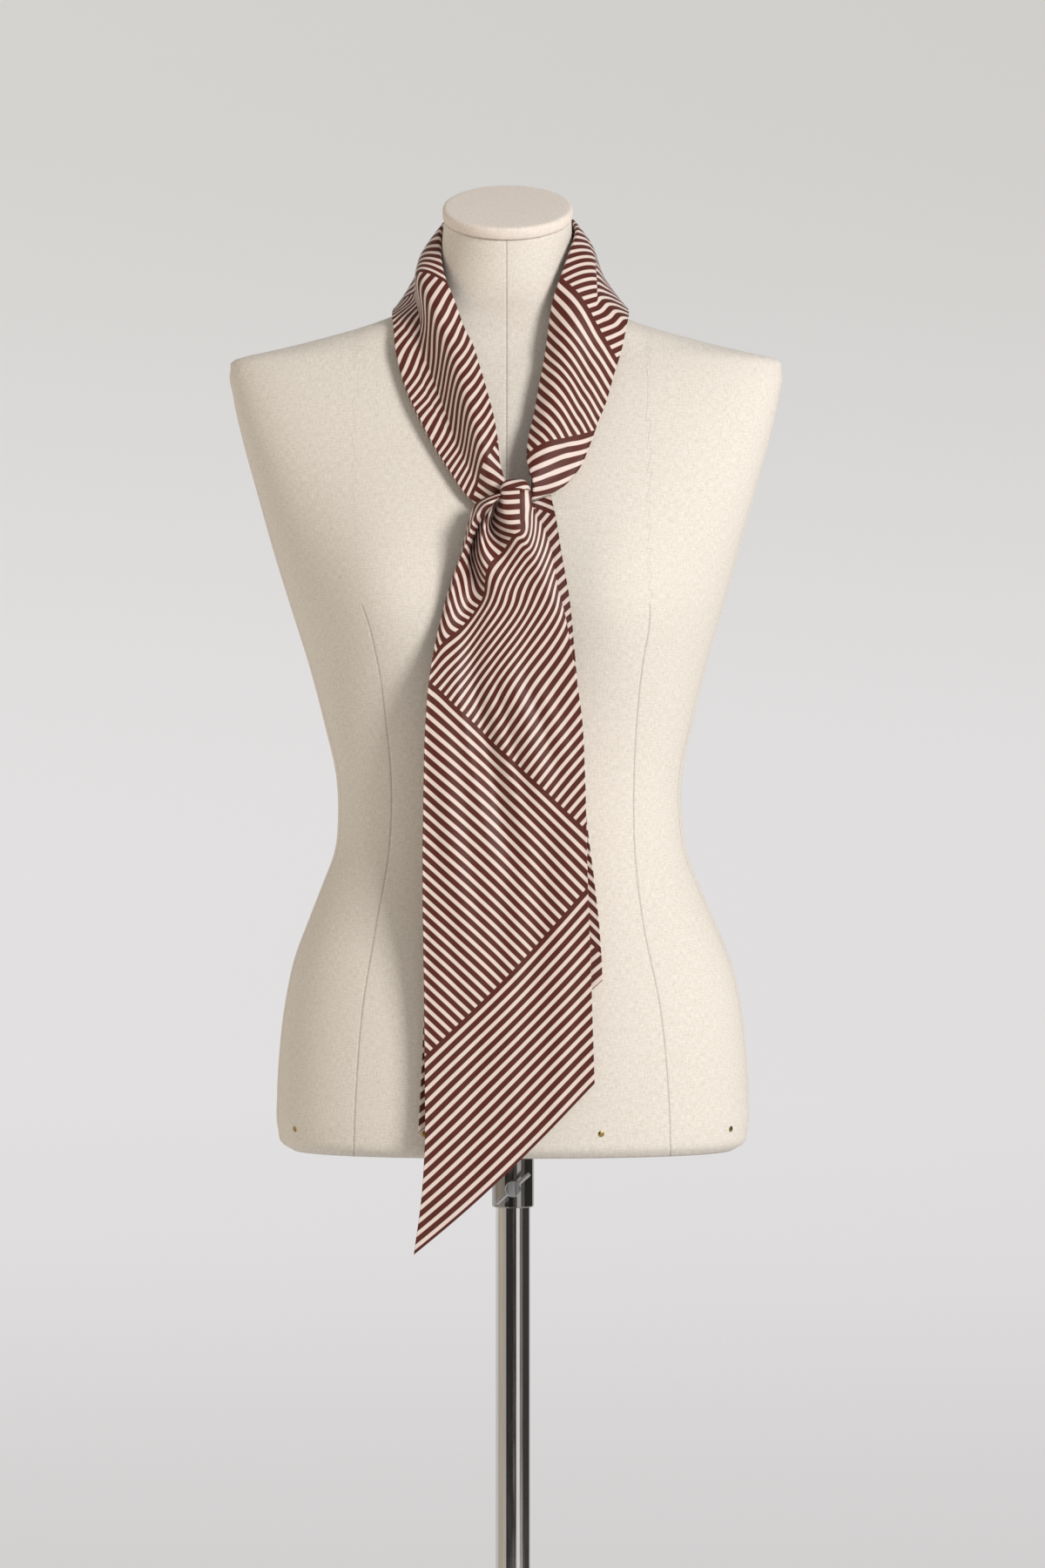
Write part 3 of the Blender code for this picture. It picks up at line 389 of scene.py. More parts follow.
def bump(distance):
    """A rounded hill: 1 at its middle, 0 from a distance of 1 on."""
    return math.cos(min(abs(distance), 1.0) * math.pi / 2) ** 2


def smooth_step(share):
    share = min(max(share, 0.0), 1.0)
    return share * share * (3 - 2 * share)


def add_object(name, data):
    made = bpy.data.objects.new(name, data)
    bpy.context.scene.collection.objects.link(made)
    return made


def mesh_object(name, points, faces, look):
    mesh = bpy.data.meshes.new(name)
    mesh.from_pydata([tuple(point) for point in points], [], faces)
    mesh.materials.append(look)
    return add_object(name, mesh)


def new_piece(name, points, faces, look, node):
    """A piece that rides on the form and takes the place of one of its nodes."""
    made = mesh_object(name, points, faces, look)
    made.data.update()
    made.data.shade_smooth()
    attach(made, "form")
    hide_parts(node)
    return made


def lay_cloth(mesh, places):
    """The cloth's own place at each of the mesh's points, which its weave and stripes follow."""
    layer = mesh.uv_layers.new(name="cloth")
    index = np.zeros(len(mesh.loops), np.int32)
    mesh.loops.foreach_get("vertex_index", index)
    layer.data.foreach_set("uv", np.asarray(places)[index].astype(np.float32).ravel())


def ring_faces(rings, around, capped=True):
    """Faces between rings of points, with one face over each end if capped."""
    faces = []
    for level in range(rings - 1):
        for step in range(around):
            after = (step + 1) % around
            low, high = level * around, (level + 1) * around
            faces.append((low + step, low + after, high + after, high + step))
    if capped:
        faces.append(tuple(reversed(range(around))))
        last = (rings - 1) * around
        faces.append(tuple(last + step for step in range(around)))
    return faces


# Materials


class Nodes:
    """One material and the ways to add nodes to it."""

    def __init__(self, name):
        self.look = bpy.data.materials.new(name)
        self.look.use_nodes = True
        self.tree = self.look.node_tree
        self.shader = self.tree.nodes["Principled BSDF"]

    def add(self, kind, **values):
        made = self.tree.nodes.new(kind)
        for key, value in values.items():
            setattr(made, key, value)
        return made

    def link(self, source, target):
        self.tree.links.new(source, target)

    def maths(self, operation, first, second=None):
        made = self.add("ShaderNodeMath", operation=operation)
        for index, value in enumerate((first, second)):
            if value is None:
                continue
            if isinstance(value, (int, float)):
                made.inputs[index].default_value = value
            else:
                self.link(value, made.inputs[index])
        return made.outputs[0]

    def mix(self, share, first, second):
        made = self.add("ShaderNodeMix", data_type="RGBA")
        for index, value in ((0, share), (6, first), (7, second)):
            socket = made.inputs[index]
            if isinstance(value, (int, float)):
                socket.default_value = value
            elif isinstance(value, tuple):
                socket.default_value = (*value, 1.0)
            else:
                self.link(value, socket)
        return made.outputs[2]

    def noise(self, vector, scale, detail=3.0, roughness=0.5):
        made = self.add("ShaderNodeTexNoise")
        made.inputs["Scale"].default_value = scale
        made.inputs["Detail"].default_value = detail
        made.inputs["Roughness"].default_value = roughness
        self.link(vector, made.inputs["Vector"])
        return made.outputs["Fac"]

    def scaled(self, vector, x, y, z=1.0):
        made = self.add("ShaderNodeVectorMath", operation="MULTIPLY")
        self.link(vector, made.inputs[0])
        made.inputs[1].default_value = (x, y, z)
        return made.outputs[0]

    def ramp(self, value, low, high, to_low=0.0, to_high=1.0):
        made = self.add("ShaderNodeMapRange", interpolation_type="SMOOTHSTEP")
        self.link(value, made.inputs["Value"])
        ends = {"From Min": low, "From Max": high, "To Min": to_low, "To Max": to_high}
        for key, number in ends.items():
            made.inputs[key].default_value = number
        return made.outputs["Result"]

    def bumps(self, height, strength, distance, after=None):
        made = self.add("ShaderNodeBump")
        made.inputs["Strength"].default_value = strength
        made.inputs["Distance"].default_value = distance
        self.link(height, made.inputs["Height"])
        if after is not None:
            self.link(after, made.inputs["Normal"])
        return made.outputs["Normal"]

    def set(self, **values):
        for key, value in values.items():
            socket = self.shader.inputs[key.replace("_", " ")]
            if isinstance(value, (int, float)):
                socket.default_value = value
            elif isinstance(value, tuple):
                socket.default_value = (*value, 1.0)
            else:
                self.link(value, socket)
        return self.look


def striped_silk():
    """Brown and pale pink stripes that turn at each band, on a fine twill."""
    n = Nodes("striped_silk")
    cloth = n.add("ShaderNodeUVMap", uv_map="cloth").outputs[0]
    split = n.add("ShaderNodeSeparateXYZ")
    n.link(cloth, split.inputs[0])
    across, along = split.outputs[0], split.outputs[1]
    rising = n.maths("SUBTRACT", along, across)
    falling = n.maths("ADD", along, across)
    step = STRIPE_PERIOD * math.sqrt(2) * MM
    half = BROWN_SHARE / 2
    edge = step * half - BAND_EDGE_IN * MM
    blur = BAND_EDGE_BLUR * MM
    brown = None
    for way, at in reversed(BANDS):
        line = rising if way == "rising" else falling
        off = n.maths("SUBTRACT", line, at * MM)
        turn = n.maths("FRACT", n.maths("ADD", n.maths("DIVIDE", off, step), 0.5))
        wave = n.maths("ABSOLUTE", n.maths("SUBTRACT", turn, 0.5))
        stripe = n.ramp(wave, half - STRIPE_BLUR, half + STRIPE_BLUR, 1.0, 0.0)
        below = n.ramp(off, edge - blur, edge + blur, 1.0, 0.0)
        if brown is None:
            brown = stripe
        else:
            kept = n.maths("MULTIPLY", brown, n.maths("SUBTRACT", 1.0, below))
            brown = n.maths("ADD", kept, n.maths("MULTIPLY", stripe, below))
    uneven = n.noise(cloth, 60.0, 4.0)
    cream = n.mix(uneven, (0.70, 0.565, 0.51), (0.76, 0.63, 0.575))
    dark = n.mix(uneven, (0.076, 0.014, 0.008), (0.100, 0.020, 0.012))
    colour = n.mix(brown, cream, dark)
    twill = n.add("ShaderNodeTexWave", wave_type="BANDS", bands_direction="X")
    n.link(cloth, twill.inputs["Vector"])
    twill.inputs["Scale"].default_value = 900.0
    twill.inputs["Distortion"].default_value = 0.6
    cockle = n.noise(cloth, 160.0, 3.0)
    soft_bump = n.bumps(cockle, 0.10, 0.0008)
    normal = n.bumps(twill.outputs["Fac"], 0.12, 0.0001, soft_bump)
    rough = n.ramp(n.noise(cloth, 25.0), 0.3, 0.7, 0.46, 0.56)
    return n.set(
        Base_Color=colour, Roughness=rough, Normal=normal, Specular_IOR_Level=0.26,
        Sheen_Weight=0.04, Sheen_Roughness=0.35,
    )


def linen(name, light, shade, seams=True):
    """Natural linen: an uneven plain weave with slubs, and sewn seams."""
    n = Nodes(name)
    cloth = n.add("ShaderNodeUVMap", uv_map="cloth").outputs[0]
    split = n.add("ShaderNodeSeparateXYZ")
    n.link(cloth, split.inputs[0])
    pitch = LINEN_PITCH * MM
    waves = []
    for axis, stretch in ((0, (1.0, 14.0)), (1, (14.0, 1.0))):
        wander = n.noise(n.scaled(cloth, *stretch), 60.0, 2.0)
        shift = n.maths("MULTIPLY", wander, pitch * 1.6)
        turn = n.maths("MULTIPLY", n.maths("ADD", split.outputs[axis], shift), math.tau / pitch)
        waves.append(n.maths("SINE", turn))
    weave = n.maths("MULTIPLY", waves[0], waves[1])
    slub = n.noise(n.scaled(cloth, 12.0, 2.6), 90.0, 3.0, 0.6)
    slub_up = n.noise(n.scaled(cloth, 2.6, 12.0), 90.0, 3.0, 0.6)
    threads = n.maths("MULTIPLY", n.maths("ADD", slub, slub_up), 0.5)
    blotch = n.noise(cloth, 7.0, 4.0)
    tone = n.maths("ADD", n.maths("MULTIPLY", weave, 0.30), n.maths("MULTIPLY", threads, 1.5))
    tone = n.maths("ADD", tone, n.maths("MULTIPLY", blotch, 0.12))
    share = n.ramp(tone, 0.51, 1.11)
    colour = n.mix(share, shade, light)
    height = n.maths("ADD", n.maths("MULTIPLY", weave, 0.5), threads)
    normal = n.bumps(height, 0.45, 0.00022)
    if seams:
        near = None
        for seam in ("princess", "centre", "side"):
            signed = n.add("ShaderNodeAttribute", attribute_name="seam_" + seam)
            away = n.maths("ABSOLUTE", signed.outputs["Fac"])
            near = away if near is None else n.maths("MINIMUM", near, away)
        groove = n.ramp(near, 0.0, GROOVE_HALF * MM)
        stitch = n.maths("FRACT", n.maths("DIVIDE", split.outputs[1], STITCH_LENGTH * MM))
        gap = n.ramp(stitch, 0.45, 0.6)
        line = n.ramp(near, LINE_HALF[0] * MM, LINE_HALF[1] * MM, 1.0, 0.0)
        depth = n.maths("ADD", n.maths("MULTIPLY", gap, 0.07), 0.24)
        dark = n.maths("SUBTRACT", 1.0, n.maths("MULTIPLY", line, depth))
        mixed = n.add("ShaderNodeMix", data_type="RGBA", blend_type="MULTIPLY")
        mixed.inputs[0].default_value = 1.0
        n.link(colour, mixed.inputs[6])
        n.link(dark, mixed.inputs[7])
        colour = mixed.outputs[2]
        normal = n.bumps(groove, 0.6, 0.0006, normal)
    return n.set(
        Base_Color=colour, Roughness=0.9, Normal=normal, Specular_IOR_Level=0.25,
        Sheen_Weight=0.12, Sheen_Roughness=0.6,
    )


def metal(name, colour, roughness, grain_scale=BRUSHED_GRAIN):
    """Plated or polished metal, with a faint grain in its colour, gloss and surface."""
    n = Nodes(name)
    spot = n.add("ShaderNodeTexCoord").outputs["Object"]
    grain = n.noise(n.scaled(spot, *grain_scale), 3.0, 4.0)
    rough = n.ramp(grain, 0.25, 0.75, roughness * 0.75, roughness * 1.3)
    tint = n.mix(grain, tuple(c * 0.9 for c in colour), colour)
    normal = n.bumps(grain, 0.04, 0.00005)
    return n.set(Base_Color=tint, Metallic=1.0, Roughness=rough, Normal=normal)


def backdrop_look():
    """A pale studio whose glow is painted light, brighter behind the form than before it."""
    n = Nodes("pale_studio")
    spot = n.add("ShaderNodeTexCoord").outputs["Object"]
    split = n.add("ShaderNodeSeparateXYZ")
    n.link(spot, split.inputs[0])
    behind = n.ramp(split.outputs[1], -6.0, 8.0)
    high = n.ramp(split.outputs[2], 0.6, 4.2)
    side = n.ramp(split.outputs[0], -6.0, 6.0)
    # Painted light: the glow is dark before the form, brighter behind it, dimmer higher up and a little
    # brighter on the viewer's left
    upper = n.mix(side, (0.455, 0.451, 0.432), (0.405, 0.401, 0.384))
    lower = n.mix(side, (0.585, 0.573, 0.577), (0.555, 0.544, 0.550))
    glow = n.mix(behind, STUDIO_PAINTED_SHADE, lower)
    glow = n.mix(high, glow, n.mix(behind, STUDIO_PAINTED_SHADE, upper))
    n.set(Emission_Color=glow, Emission_Strength=1.0)
    tone = n.noise(spot, 0.3, 2.0)
    colour = n.mix(tone, (0.40, 0.397, 0.39), (0.42, 0.417, 0.41))
    return n.set(Base_Color=colour, Roughness=1.0, Specular_IOR_Level=0.0)


SILK = striped_silk()
LINEN = linen("linen", (0.83, 0.775, 0.71), (0.62, 0.555, 0.475))
CAP_LINEN = linen("cap_linen", (0.87, 0.785, 0.71), (0.70, 0.61, 0.53), seams=False)
CHROME = metal("chrome", (0.80, 0.79, 0.775), 0.10)
DARK_CHROME = metal("dark_chrome", (0.40, 0.39, 0.38), 0.14)
SATIN_STEEL = metal("satin_steel", (0.52, 0.53, 0.55), 0.36)
BRASS = metal("brass", (0.42, 0.29, 0.10), 0.30, CAST_GRAIN)


# The form


def torso_section(height, around, inset=0.0):
    """Points of one closed section of the form, counter-clockwise from above."""
    row = smooth_rows(TORSO_SECTIONS, height)
    row[1:4] -= inset
    hem_drop = HEM_LIP * max(0.0, 1 - height / HEM_LIP_FROM) if inset == 0 else 0.0
    _, half_width, front, back, middle_x, middle_y, square, tilt = row
    lean = math.radians(max(tilt, 0.0))
    ring = []
    for step in range(around):
        angle = math.tau * step / around
        side, ahead = math.cos(angle), math.sin(angle)
        x = half_width * math.copysign(abs(side) ** (2 / square), side)
        depth = front if ahead < 0 else back
        y = depth * math.copysign(abs(ahead) ** (2 / square), ahead)
        fullness = 0.0
        if ahead < 0:
            wide = (abs(x) - BUST_X) / BUST_HALF_WIDTH
            up = (height - BUST_HEIGHT) / BUST_HALF_HEIGHT
            fullness = BUST_REACH * abs(ahead) ** BUST_SIDE_FALL
            fullness *= math.exp(-wide * wide - up * up)
        ring.append((
            middle_x + x,
            middle_y + y * math.cos(lean) - fullness,
            height + y * math.sin(lean) - hem_drop,
        ))
    return ring


def build_torso():
    """The linen cover with its seams; gives back its surface to lay the scarf on."""
    levels = [
        *HEM_LEVELS, *np.arange(BODY_FROM, SHOULDERS_FROM, BODY_STEP),
        *np.arange(SHOULDERS_FROM, SHOULDERS_TO, SHOULDERS_STEP), TORSO_SECTIONS[-1][0],
    ]
    count = TORSO_AROUND
    rings = [torso_section(0, count, inset) for inset in HEM_INSETS]
    rings += [torso_section(level, count) for level in levels]
    levels = [0] * len(HEM_INSETS) + levels
    points = [place(*point) for ring in rings for point in ring]
    torso = new_piece("form_cover", points, ring_faces(len(rings), count), LINEN, "form_torso")
    mesh = torso.data
    cloth = mesh.uv_layers.new(name="cloth")
    around = np.zeros((len(rings), count + 1))
    for level, ring in enumerate(rings):
        steps = np.linalg.norm(np.diff(np.asarray(ring + ring[:1]), axis=0), axis=1)
        around[level, 1:] = np.cumsum(steps)
        around[level] -= around[level, 3 * count // 4]
    for face in mesh.polygons:
        closing = len(face.vertices) == 4 and any(index % count == count - 1 for index in face.vertices)
        for corner, index in zip(face.loop_indices, face.vertices):
            level, step = divmod(index, count)
            if step == 0 and closing:
                step = count
            cloth.data[corner].uv = (around[level, step] * MM, levels[level] * MM)
    princess, centre, side = [], [], []
    for ring, level in zip(rings, levels):
        _, left, right = smooth_rows(DARTS, level)
        above = max(0.0, level - SEAMS_LEAN_FROM)
        side_line = SIDE_SEAM_Y + above * SIDE_SEAM_LEAN
        for x, y, _ in ring:
            away = left - x if x < 0 else x - right
            if y > side_line:
                away = abs(x - BACK_SEAMS_MIDDLE) - BACK_SEAMS_X + above * BACK_SEAMS_LEAN
            elif level > DART_TOPS[0 if x < 0 else 1]:
                away = math.copysign(NO_SEAM, away)
            princess.append(away)
            centre.append(x - CENTRE_SEAM_X)
            side.append(y - side_line)
    for name, values in (("princess", princess), ("centre", centre), ("side", side)):
        seam = mesh.attributes.new("seam_" + name, "FLOAT", "POINT")
        seam.data.foreach_set("value", [value * MM for value in values])
    return BVHTree.FromPolygons(
        [point.co for point in mesh.vertices], [tuple(face.vertices) for face in mesh.polygons]
    )


def build_cap():
    """The covered disc on the neck, tilted with it."""
    lean = math.radians(NECK_TILT)
    neck_top = TORSO_SECTIONS[-1]
    middle = place(neck_top[4], neck_top[5], neck_top[0])
    up = Vector((0.0, -math.sin(lean), math.cos(lean)))
    back = Vector((0.0, math.cos(lean), math.sin(lean)))
    crown_from, crown_rise = CAP_RIM[-1]
    profile = list(CAP_RIM)
    for inset in CAP_CROWN_INSETS:
        turn = (inset - crown_from) / CAP_CROWN_WIDTH * math.pi
        profile.append((inset, crown_rise + CAP_CROWN * math.sin(turn)))
    points, cloth_points = [], []
    for inset, rise in profile:
        for step in range(CAP_AROUND):
            angle = math.tau * step / CAP_AROUND
            across = (CAP_HALF_WIDTH - inset) * math.cos(angle)
            behind = (CAP_HALF_DEPTH - inset) * math.sin(angle)
            points.append(middle + Vector((across * MM, 0, 0)) + back * (behind * MM) + up * (rise * MM))
            cloth_points.append((across * MM, (behind - rise) * MM))
    faces = ring_faces(len(profile), CAP_AROUND)
    cap = new_piece("form_cap_cover", points, faces, CAP_LINEN, "form_neck_cap")
    lay_cloth(cap.data, cloth_points)


# The scarf


def grid_normals(points, spacing=None):
    spacing = np.arange(len(points)) if spacing is None else np.asarray(spacing)
    along = np.gradient(points, spacing, axis=0)
    across = np.gradient(points, axis=1)
    normals = np.cross(across, along)
    return normals / np.linalg.norm(normals, axis=2, keepdims=True)


def cloth_shell(name, points, cloth, half, node, normals=None):
    """A closed sheet round a grid of points: half is its half thickness at each of them."""
    if normals is None:
        normals = grid_normals(points)
    count_rows, count_columns = points.shape[:2]
    front = points + normals * (half * MM)[..., None]
    back = points - normals * (half * MM)[..., None]
    vertices = np.vstack([front.reshape(-1, 3), back.reshape(-1, 3)])
    behind = count_rows * count_columns
    faces = []
    for row in range(count_rows - 1):
        for column in range(count_columns - 1):
            a = row * count_columns + column
            near = (a, a + 1, a + count_columns + 1, a + count_columns)
            faces.append(near)
            faces.append(tuple(behind + corner for corner in reversed(near)))
    rim = [(row, 0) for row in range(count_rows - 1, 0, -1)]
    rim += [(0, column) for column in range(count_columns - 1)]
    rim += [(row, count_columns - 1) for row in range(count_rows - 1)]
    rim += [(count_rows - 1, column) for column in range(count_columns - 1, 0, -1)]
    corners = [row * count_columns + column for row, column in rim]
    for step, corner in enumerate(corners):
        after = corners[(step + 1) % len(corners)]
        faces.append((after, corner, behind + corner, behind + after))
    piece = new_piece(name, vertices, faces, SILK, node)
    lay_cloth(piece.data, np.tile(cloth.reshape(-1, 2) * MM, (2, 1)))
    return piece


def edge_half(distance, bead=EDGE_BEAD, middle=CLOTH_HALF):
    """Half thickness near a rolled edge, by the distance from it."""
    if distance < bead:
        return max(math.sqrt(bead * bead - (bead - distance) ** 2), BEAD_TIP)
    return middle + (bead - middle) * (1 - smooth_step((distance - bead) / bead))


def edge_steps(width, step):
    """Places across a width, close together at both edges."""
    near = [0.0, 0.08, 0.3, 0.75, 1.1, 1.5, 2.2]
    inside = np.linspace(3.2, width - 3.2, round((width - 6.4) / step) + 1)
    return np.asarray(near + list(inside) + [width - value for value in reversed(near)])


def side_edges(table, row):
    _, left_x, left_height, right_x, right_height, y = smooth_rows(table, row)
    return Vector((left_x, y, left_height)), Vector((right_x, y, right_height))


def front_edge_cloth(across, row):
    """The cloth's own place on the lower tail, whose slack lies in the trough."""
    left, right = side_edges(FRONT_TAIL_EDGES, row)
    visible = (right - left).length
    slack = max(0.0, SCARF_WIDTH - visible - SLACK_FREE)
    _, middle = smooth_rows(SLACK_LINE, row)
    share = smooth_step((across - middle) / (2 * SLACK_HALF_WIDTH) + 0.5)
    spread = (SCARF_WIDTH - slack) / SCARF_WIDTH
    low = smooth_step(-middle / (2 * SLACK_HALF_WIDTH) + 0.5)
    high = smooth_step((SCARF_WIDTH - middle) / (2 * SLACK_HALF_WIDTH) + 0.5)
    return across * spread + slack * (share - low) / (high - low)


def lower_tail_row(across, row):
    """The row, its point between the side edges, and the cloth's own place there."""
    left, right = side_edges(FRONT_TAIL_EDGES, row)
    return (row, *left.lerp(right, across / SCARF_WIDTH), front_edge_cloth(across, row), row)


def front_tail_frame(across_steps, row):
    """Points and cloth places of the front tail across one of its rows."""
    result = []
    gathered = []
    if row > GATHER_FROM:
        for _, line_across, line in GATHER_LINES:
            path = [lower_tail_row(line_across, lead_in) for lead_in in LEAD_IN_ROWS]
            path.extend(line)
            gathered.append((line_across, *smooth_rows(path, row)[1:]))
    for across in across_steps:
        if row < GATHER_BY:
            value = np.array(lower_tail_row(across, row)[1:])
        if gathered:
            upper = smooth_rows(gathered, across)[1:]
            if row < GATHER_BY:
                share = smooth_step((row - GATHER_FROM) / (GATHER_BY - GATHER_FROM))
                value = value * (1 - share) + upper * share
            else:
                value = upper
        for start_across, start_row, end_across, end_row, half_width, reach in FRONT_TAIL_FOLDS:
            share = (row - start_row) / (end_row - start_row)
            if 0 < share < 1:
                line = start_across + (end_across - start_across) * share
                fade = math.sin(share * math.pi)
                value[1] -= reach * fade * bump((across - line) / half_width)
        result.append(value)
    return result


def tail_rows(top, step, fine_from, fine_step):
    """Level rows, closer together towards the knot."""
    rows = list(np.arange(FIRST_LEVEL_ROW, fine_from, step))
    rows += list(np.linspace(fine_from, top, round((top - fine_from) / fine_step) + 1))
    return rows


def slanted_lengths(columns):
    """Rows from the slanted end up to the first level row: (row, column) lengths."""
    return [[across + (FIRST_LEVEL_ROW - across) * share for across in columns] for share in END_SHARES]


def side_half(across):
    """Half thickness by the nearer side edge of a tail."""
    return edge_half(min(across, SCARF_WIDTH - across))


def end_half(across, length):
    """Half thickness by a tail's slanted end."""
    return edge_half((length - across) / math.sqrt(2))


def build_front_tail():
    """The bridge over the knot, its flap and pleats, and the longer tail below."""
    columns = edge_steps(SCARF_WIDTH, step=1.25)
    values, halves = [], []
    for lengths in slanted_lengths(columns):
        line = list(zip(columns, lengths))
        values.append([front_tail_frame([across], length)[0] for across, length in line])
        halves.append([min(side_half(across), end_half(across, length)) for across, length in line])
    for row in tail_rows(GATHER_TOP, step=2.4, fine_from=405.0, fine_step=1.4):
        values.append(front_tail_frame(columns, row))
        halves.append([side_half(across) for across in columns])
    values = np.asarray(values)
    points = values[..., :3] * MM
    points[..., 2] += HEM_HEIGHT * MM
    piece = cloth_shell("front_tail", points, values[..., 3:5], np.asarray(halves), "scarf_front_tail")


def clear_of(tree, point, distance):
    """The point, moved out to a distance from a surface where it lies nearer."""
    surface, normal, _, _ = tree.find_nearest(point)
    off = (point - surface).dot(normal)
    return point if off >= distance * MM else point + normal * (distance * MM - off)


def build_back_tail(tree):
    """The shorter tail, which lies between the longer one and the form."""
    columns = edge_steps(SCARF_WIDTH, step=1.8)
    levels = tail_rows(BACK_TAIL_EDGES[-1][0], step=3.0, fine_from=400.0, fine_step=2.0)
    rows = slanted_lengths(columns) + [[row] * len(columns) for row in levels]
    points, cloth, halves = [], [], []
    for lengths in rows:
        line, flat, half = [], [], []
        for across, length in zip(columns, lengths):
            left, right = side_edges(BACK_TAIL_EDGES, length)
            point = left.lerp(right, across / SCARF_WIDTH)
            ripple = math.sin(length / RIPPLE_LENGTH) * bump((across - RIPPLE_AT) / RIPPLE_HALF_WIDTH)
            point.y -= RIPPLE_REACH * ripple
            tucked = smooth_step((length - TUCKS_FROM) / TUCKS_GROW)
            tucked *= smooth_step((TUCKS_WIDTH - across) / TUCKS_FADE)
            tuck = math.sin(across / TUCKS_WIDTH * math.tau * TUCKS_COUNT) - TUCKS_SET_BACK
            point.y += TUCKS_REACH * tucked * tuck
            line.append(tuple(clear_of(tree, place(*point), CLEAR_OF_FORM + EDGE_BEAD)))
            width = min((right - left).length, SCARF_WIDTH)
            u = SCARF_WIDTH - (SCARF_WIDTH - across) * width / SCARF_WIDTH
            flat.append((u, BACK_TAIL_LENGTH_FROM - length))
            end = end_half(across, length) if length < FIRST_LEVEL_ROW else EDGE_BEAD
            half.append(min(side_half(across), end))
        points.append(line)
        cloth.append(flat)
        halves.append(half)
    points, cloth, halves = (np.asarray(values) for values in (points, cloth, halves))
    piece = cloth_shell("back_tail", points, cloth, halves, "scarf_back_tail")


def pleat_share(station, across):
    """How far across the pleat's edge a place lies, 0 before it and 1 past it."""
    first, last = PLEAT_STATIONS
    run = (station - first) / (last - first)
    if not 0 < run < 1:
        return 0.0
    place_across = PLEAT_PLACES[0] + (PLEAT_PLACES[1] - PLEAT_PLACES[0]) * run
    fade = smooth_step(min(run, 1 - run) / PLEAT_FADE)
    return fade * smooth_step((across - place_across) / PLEAT_EDGE + 0.5)


def neck_middle(tree, stations):
    """Points midway between the two leaves of the folded neck stretch."""
    off_form = LEAF_SPREAD / 2 + LEAF_HALF + CLEAR_OF_FORM
    grid = []
    for station in stations:
        section = smooth_rows(NECK_SECTIONS, station)
        fold, free = Vector(section[1:4]), Vector(section[4:7])
        ridge, trough = section[7:9]
        before = smooth_rows(NECK_SECTIONS, station - 2)
        after = smooth_rows(NECK_SECTIONS, station + 2)
        run = Vector(after[1:4] + after[4:7] - before[1:4] - before[4:7])
        outward = run.cross(free - fold).normalized()
        row = []
        for across in NECK_COLUMNS:
            rise = ridge * bump((across - RIDGE_AT) / (2 * CREST_REACH))
            rise += trough * bump((across - TROUGH_AT) / (2 * CREST_REACH))
            rise -= PLEAT_STEP * pleat_share(station, across) * (1 - across)
            point = fold.lerp(free, across) + outward * rise
            row.append(tuple(clear_of(tree, place(*point), off_form)))
        grid.append(row)
    return np.asarray(grid)


def build_neck(tree):
    """The three stretches round the neck: two leaves joined by a rounded fold."""
    stations, ends = [], []
    for _, first, last in NECK_STRETCHES:
        count = round((last - first) / NECK_STEP) + 1
        stations.extend(np.linspace(first + SEAM_GAP / 2, last - SEAM_GAP / 2, count))
        ends.append(len(stations))
    middle = neck_middle(tree, stations)
    normals = grid_normals(middle, stations)
    half_spread = LEAF_SPREAD / 2 * MM
    steps = np.linalg.norm(np.diff(middle, axis=1), axis=2) / MM
    reach = np.concatenate([np.zeros((len(stations), 1)), np.cumsum(steps, axis=1)], axis=1)
    points, cloth, half, out = [], [], [], []
    turns = [math.pi * step / FOLD_STEPS for step in range(1, FOLD_STEPS)]
    turned_over = half_spread / MM * math.pi
    for index, station in enumerate(stations):
        row, facing, wide = middle[index], normals[index], reach[index]
        tuck = np.array([PLEAT_TUCK * pleat_share(station, across) for across in NECK_COLUMNS])
        _, at_fold, at_free, fullness = smooth_rows(NECK_CLOTH, station)
        toward = row[0] - row[1]
        toward = toward / np.linalg.norm(toward)
        outer = row + facing * half_spread
        inner = row - facing * half_spread
        share = wide / wide[-1]
        length = NECK_LENGTH_FROM - (at_fold + (at_free - at_fold) * share)
        flat_outer = np.stack([-wide * fullness - turned_over, length], axis=1)
        flat_inner = np.stack([wide * fullness + tuck, length], axis=1)
        bend_normal = [facing[0] * math.cos(a) + toward * math.sin(a) for a in turns]
        bend = [row[0] + half_spread * normal for normal in bend_normal]
        bend_flat = [(-half_spread / MM * (math.pi - a), NECK_LENGTH_FROM - at_fold) for a in turns]
        points.append(list(outer[::-1]) + bend + list(inner))
        out.append(list(facing[::-1]) + bend_normal + list(-facing))
        cloth.append(list(flat_outer[::-1]) + bend_flat + list(flat_inner))
        thin = [edge_half(wide[-1] - value, LEAF_BEAD, LEAF_HALF) for value in wide]
        half.append(thin[::-1] + [LEAF_HALF] * len(turns) + thin)
    points, cloth, half, out = (np.asarray(values, float) for values in (points, cloth, half, out))
    start = 0
    for (node, first, last), end in zip(NECK_STRETCHES, ends):
        piece = cloth_shell(
            node.replace("scarf_", ""), points[start:end], cloth[start:end], half[start:end],
            node, normals=out[start:end],
        )
        start = end


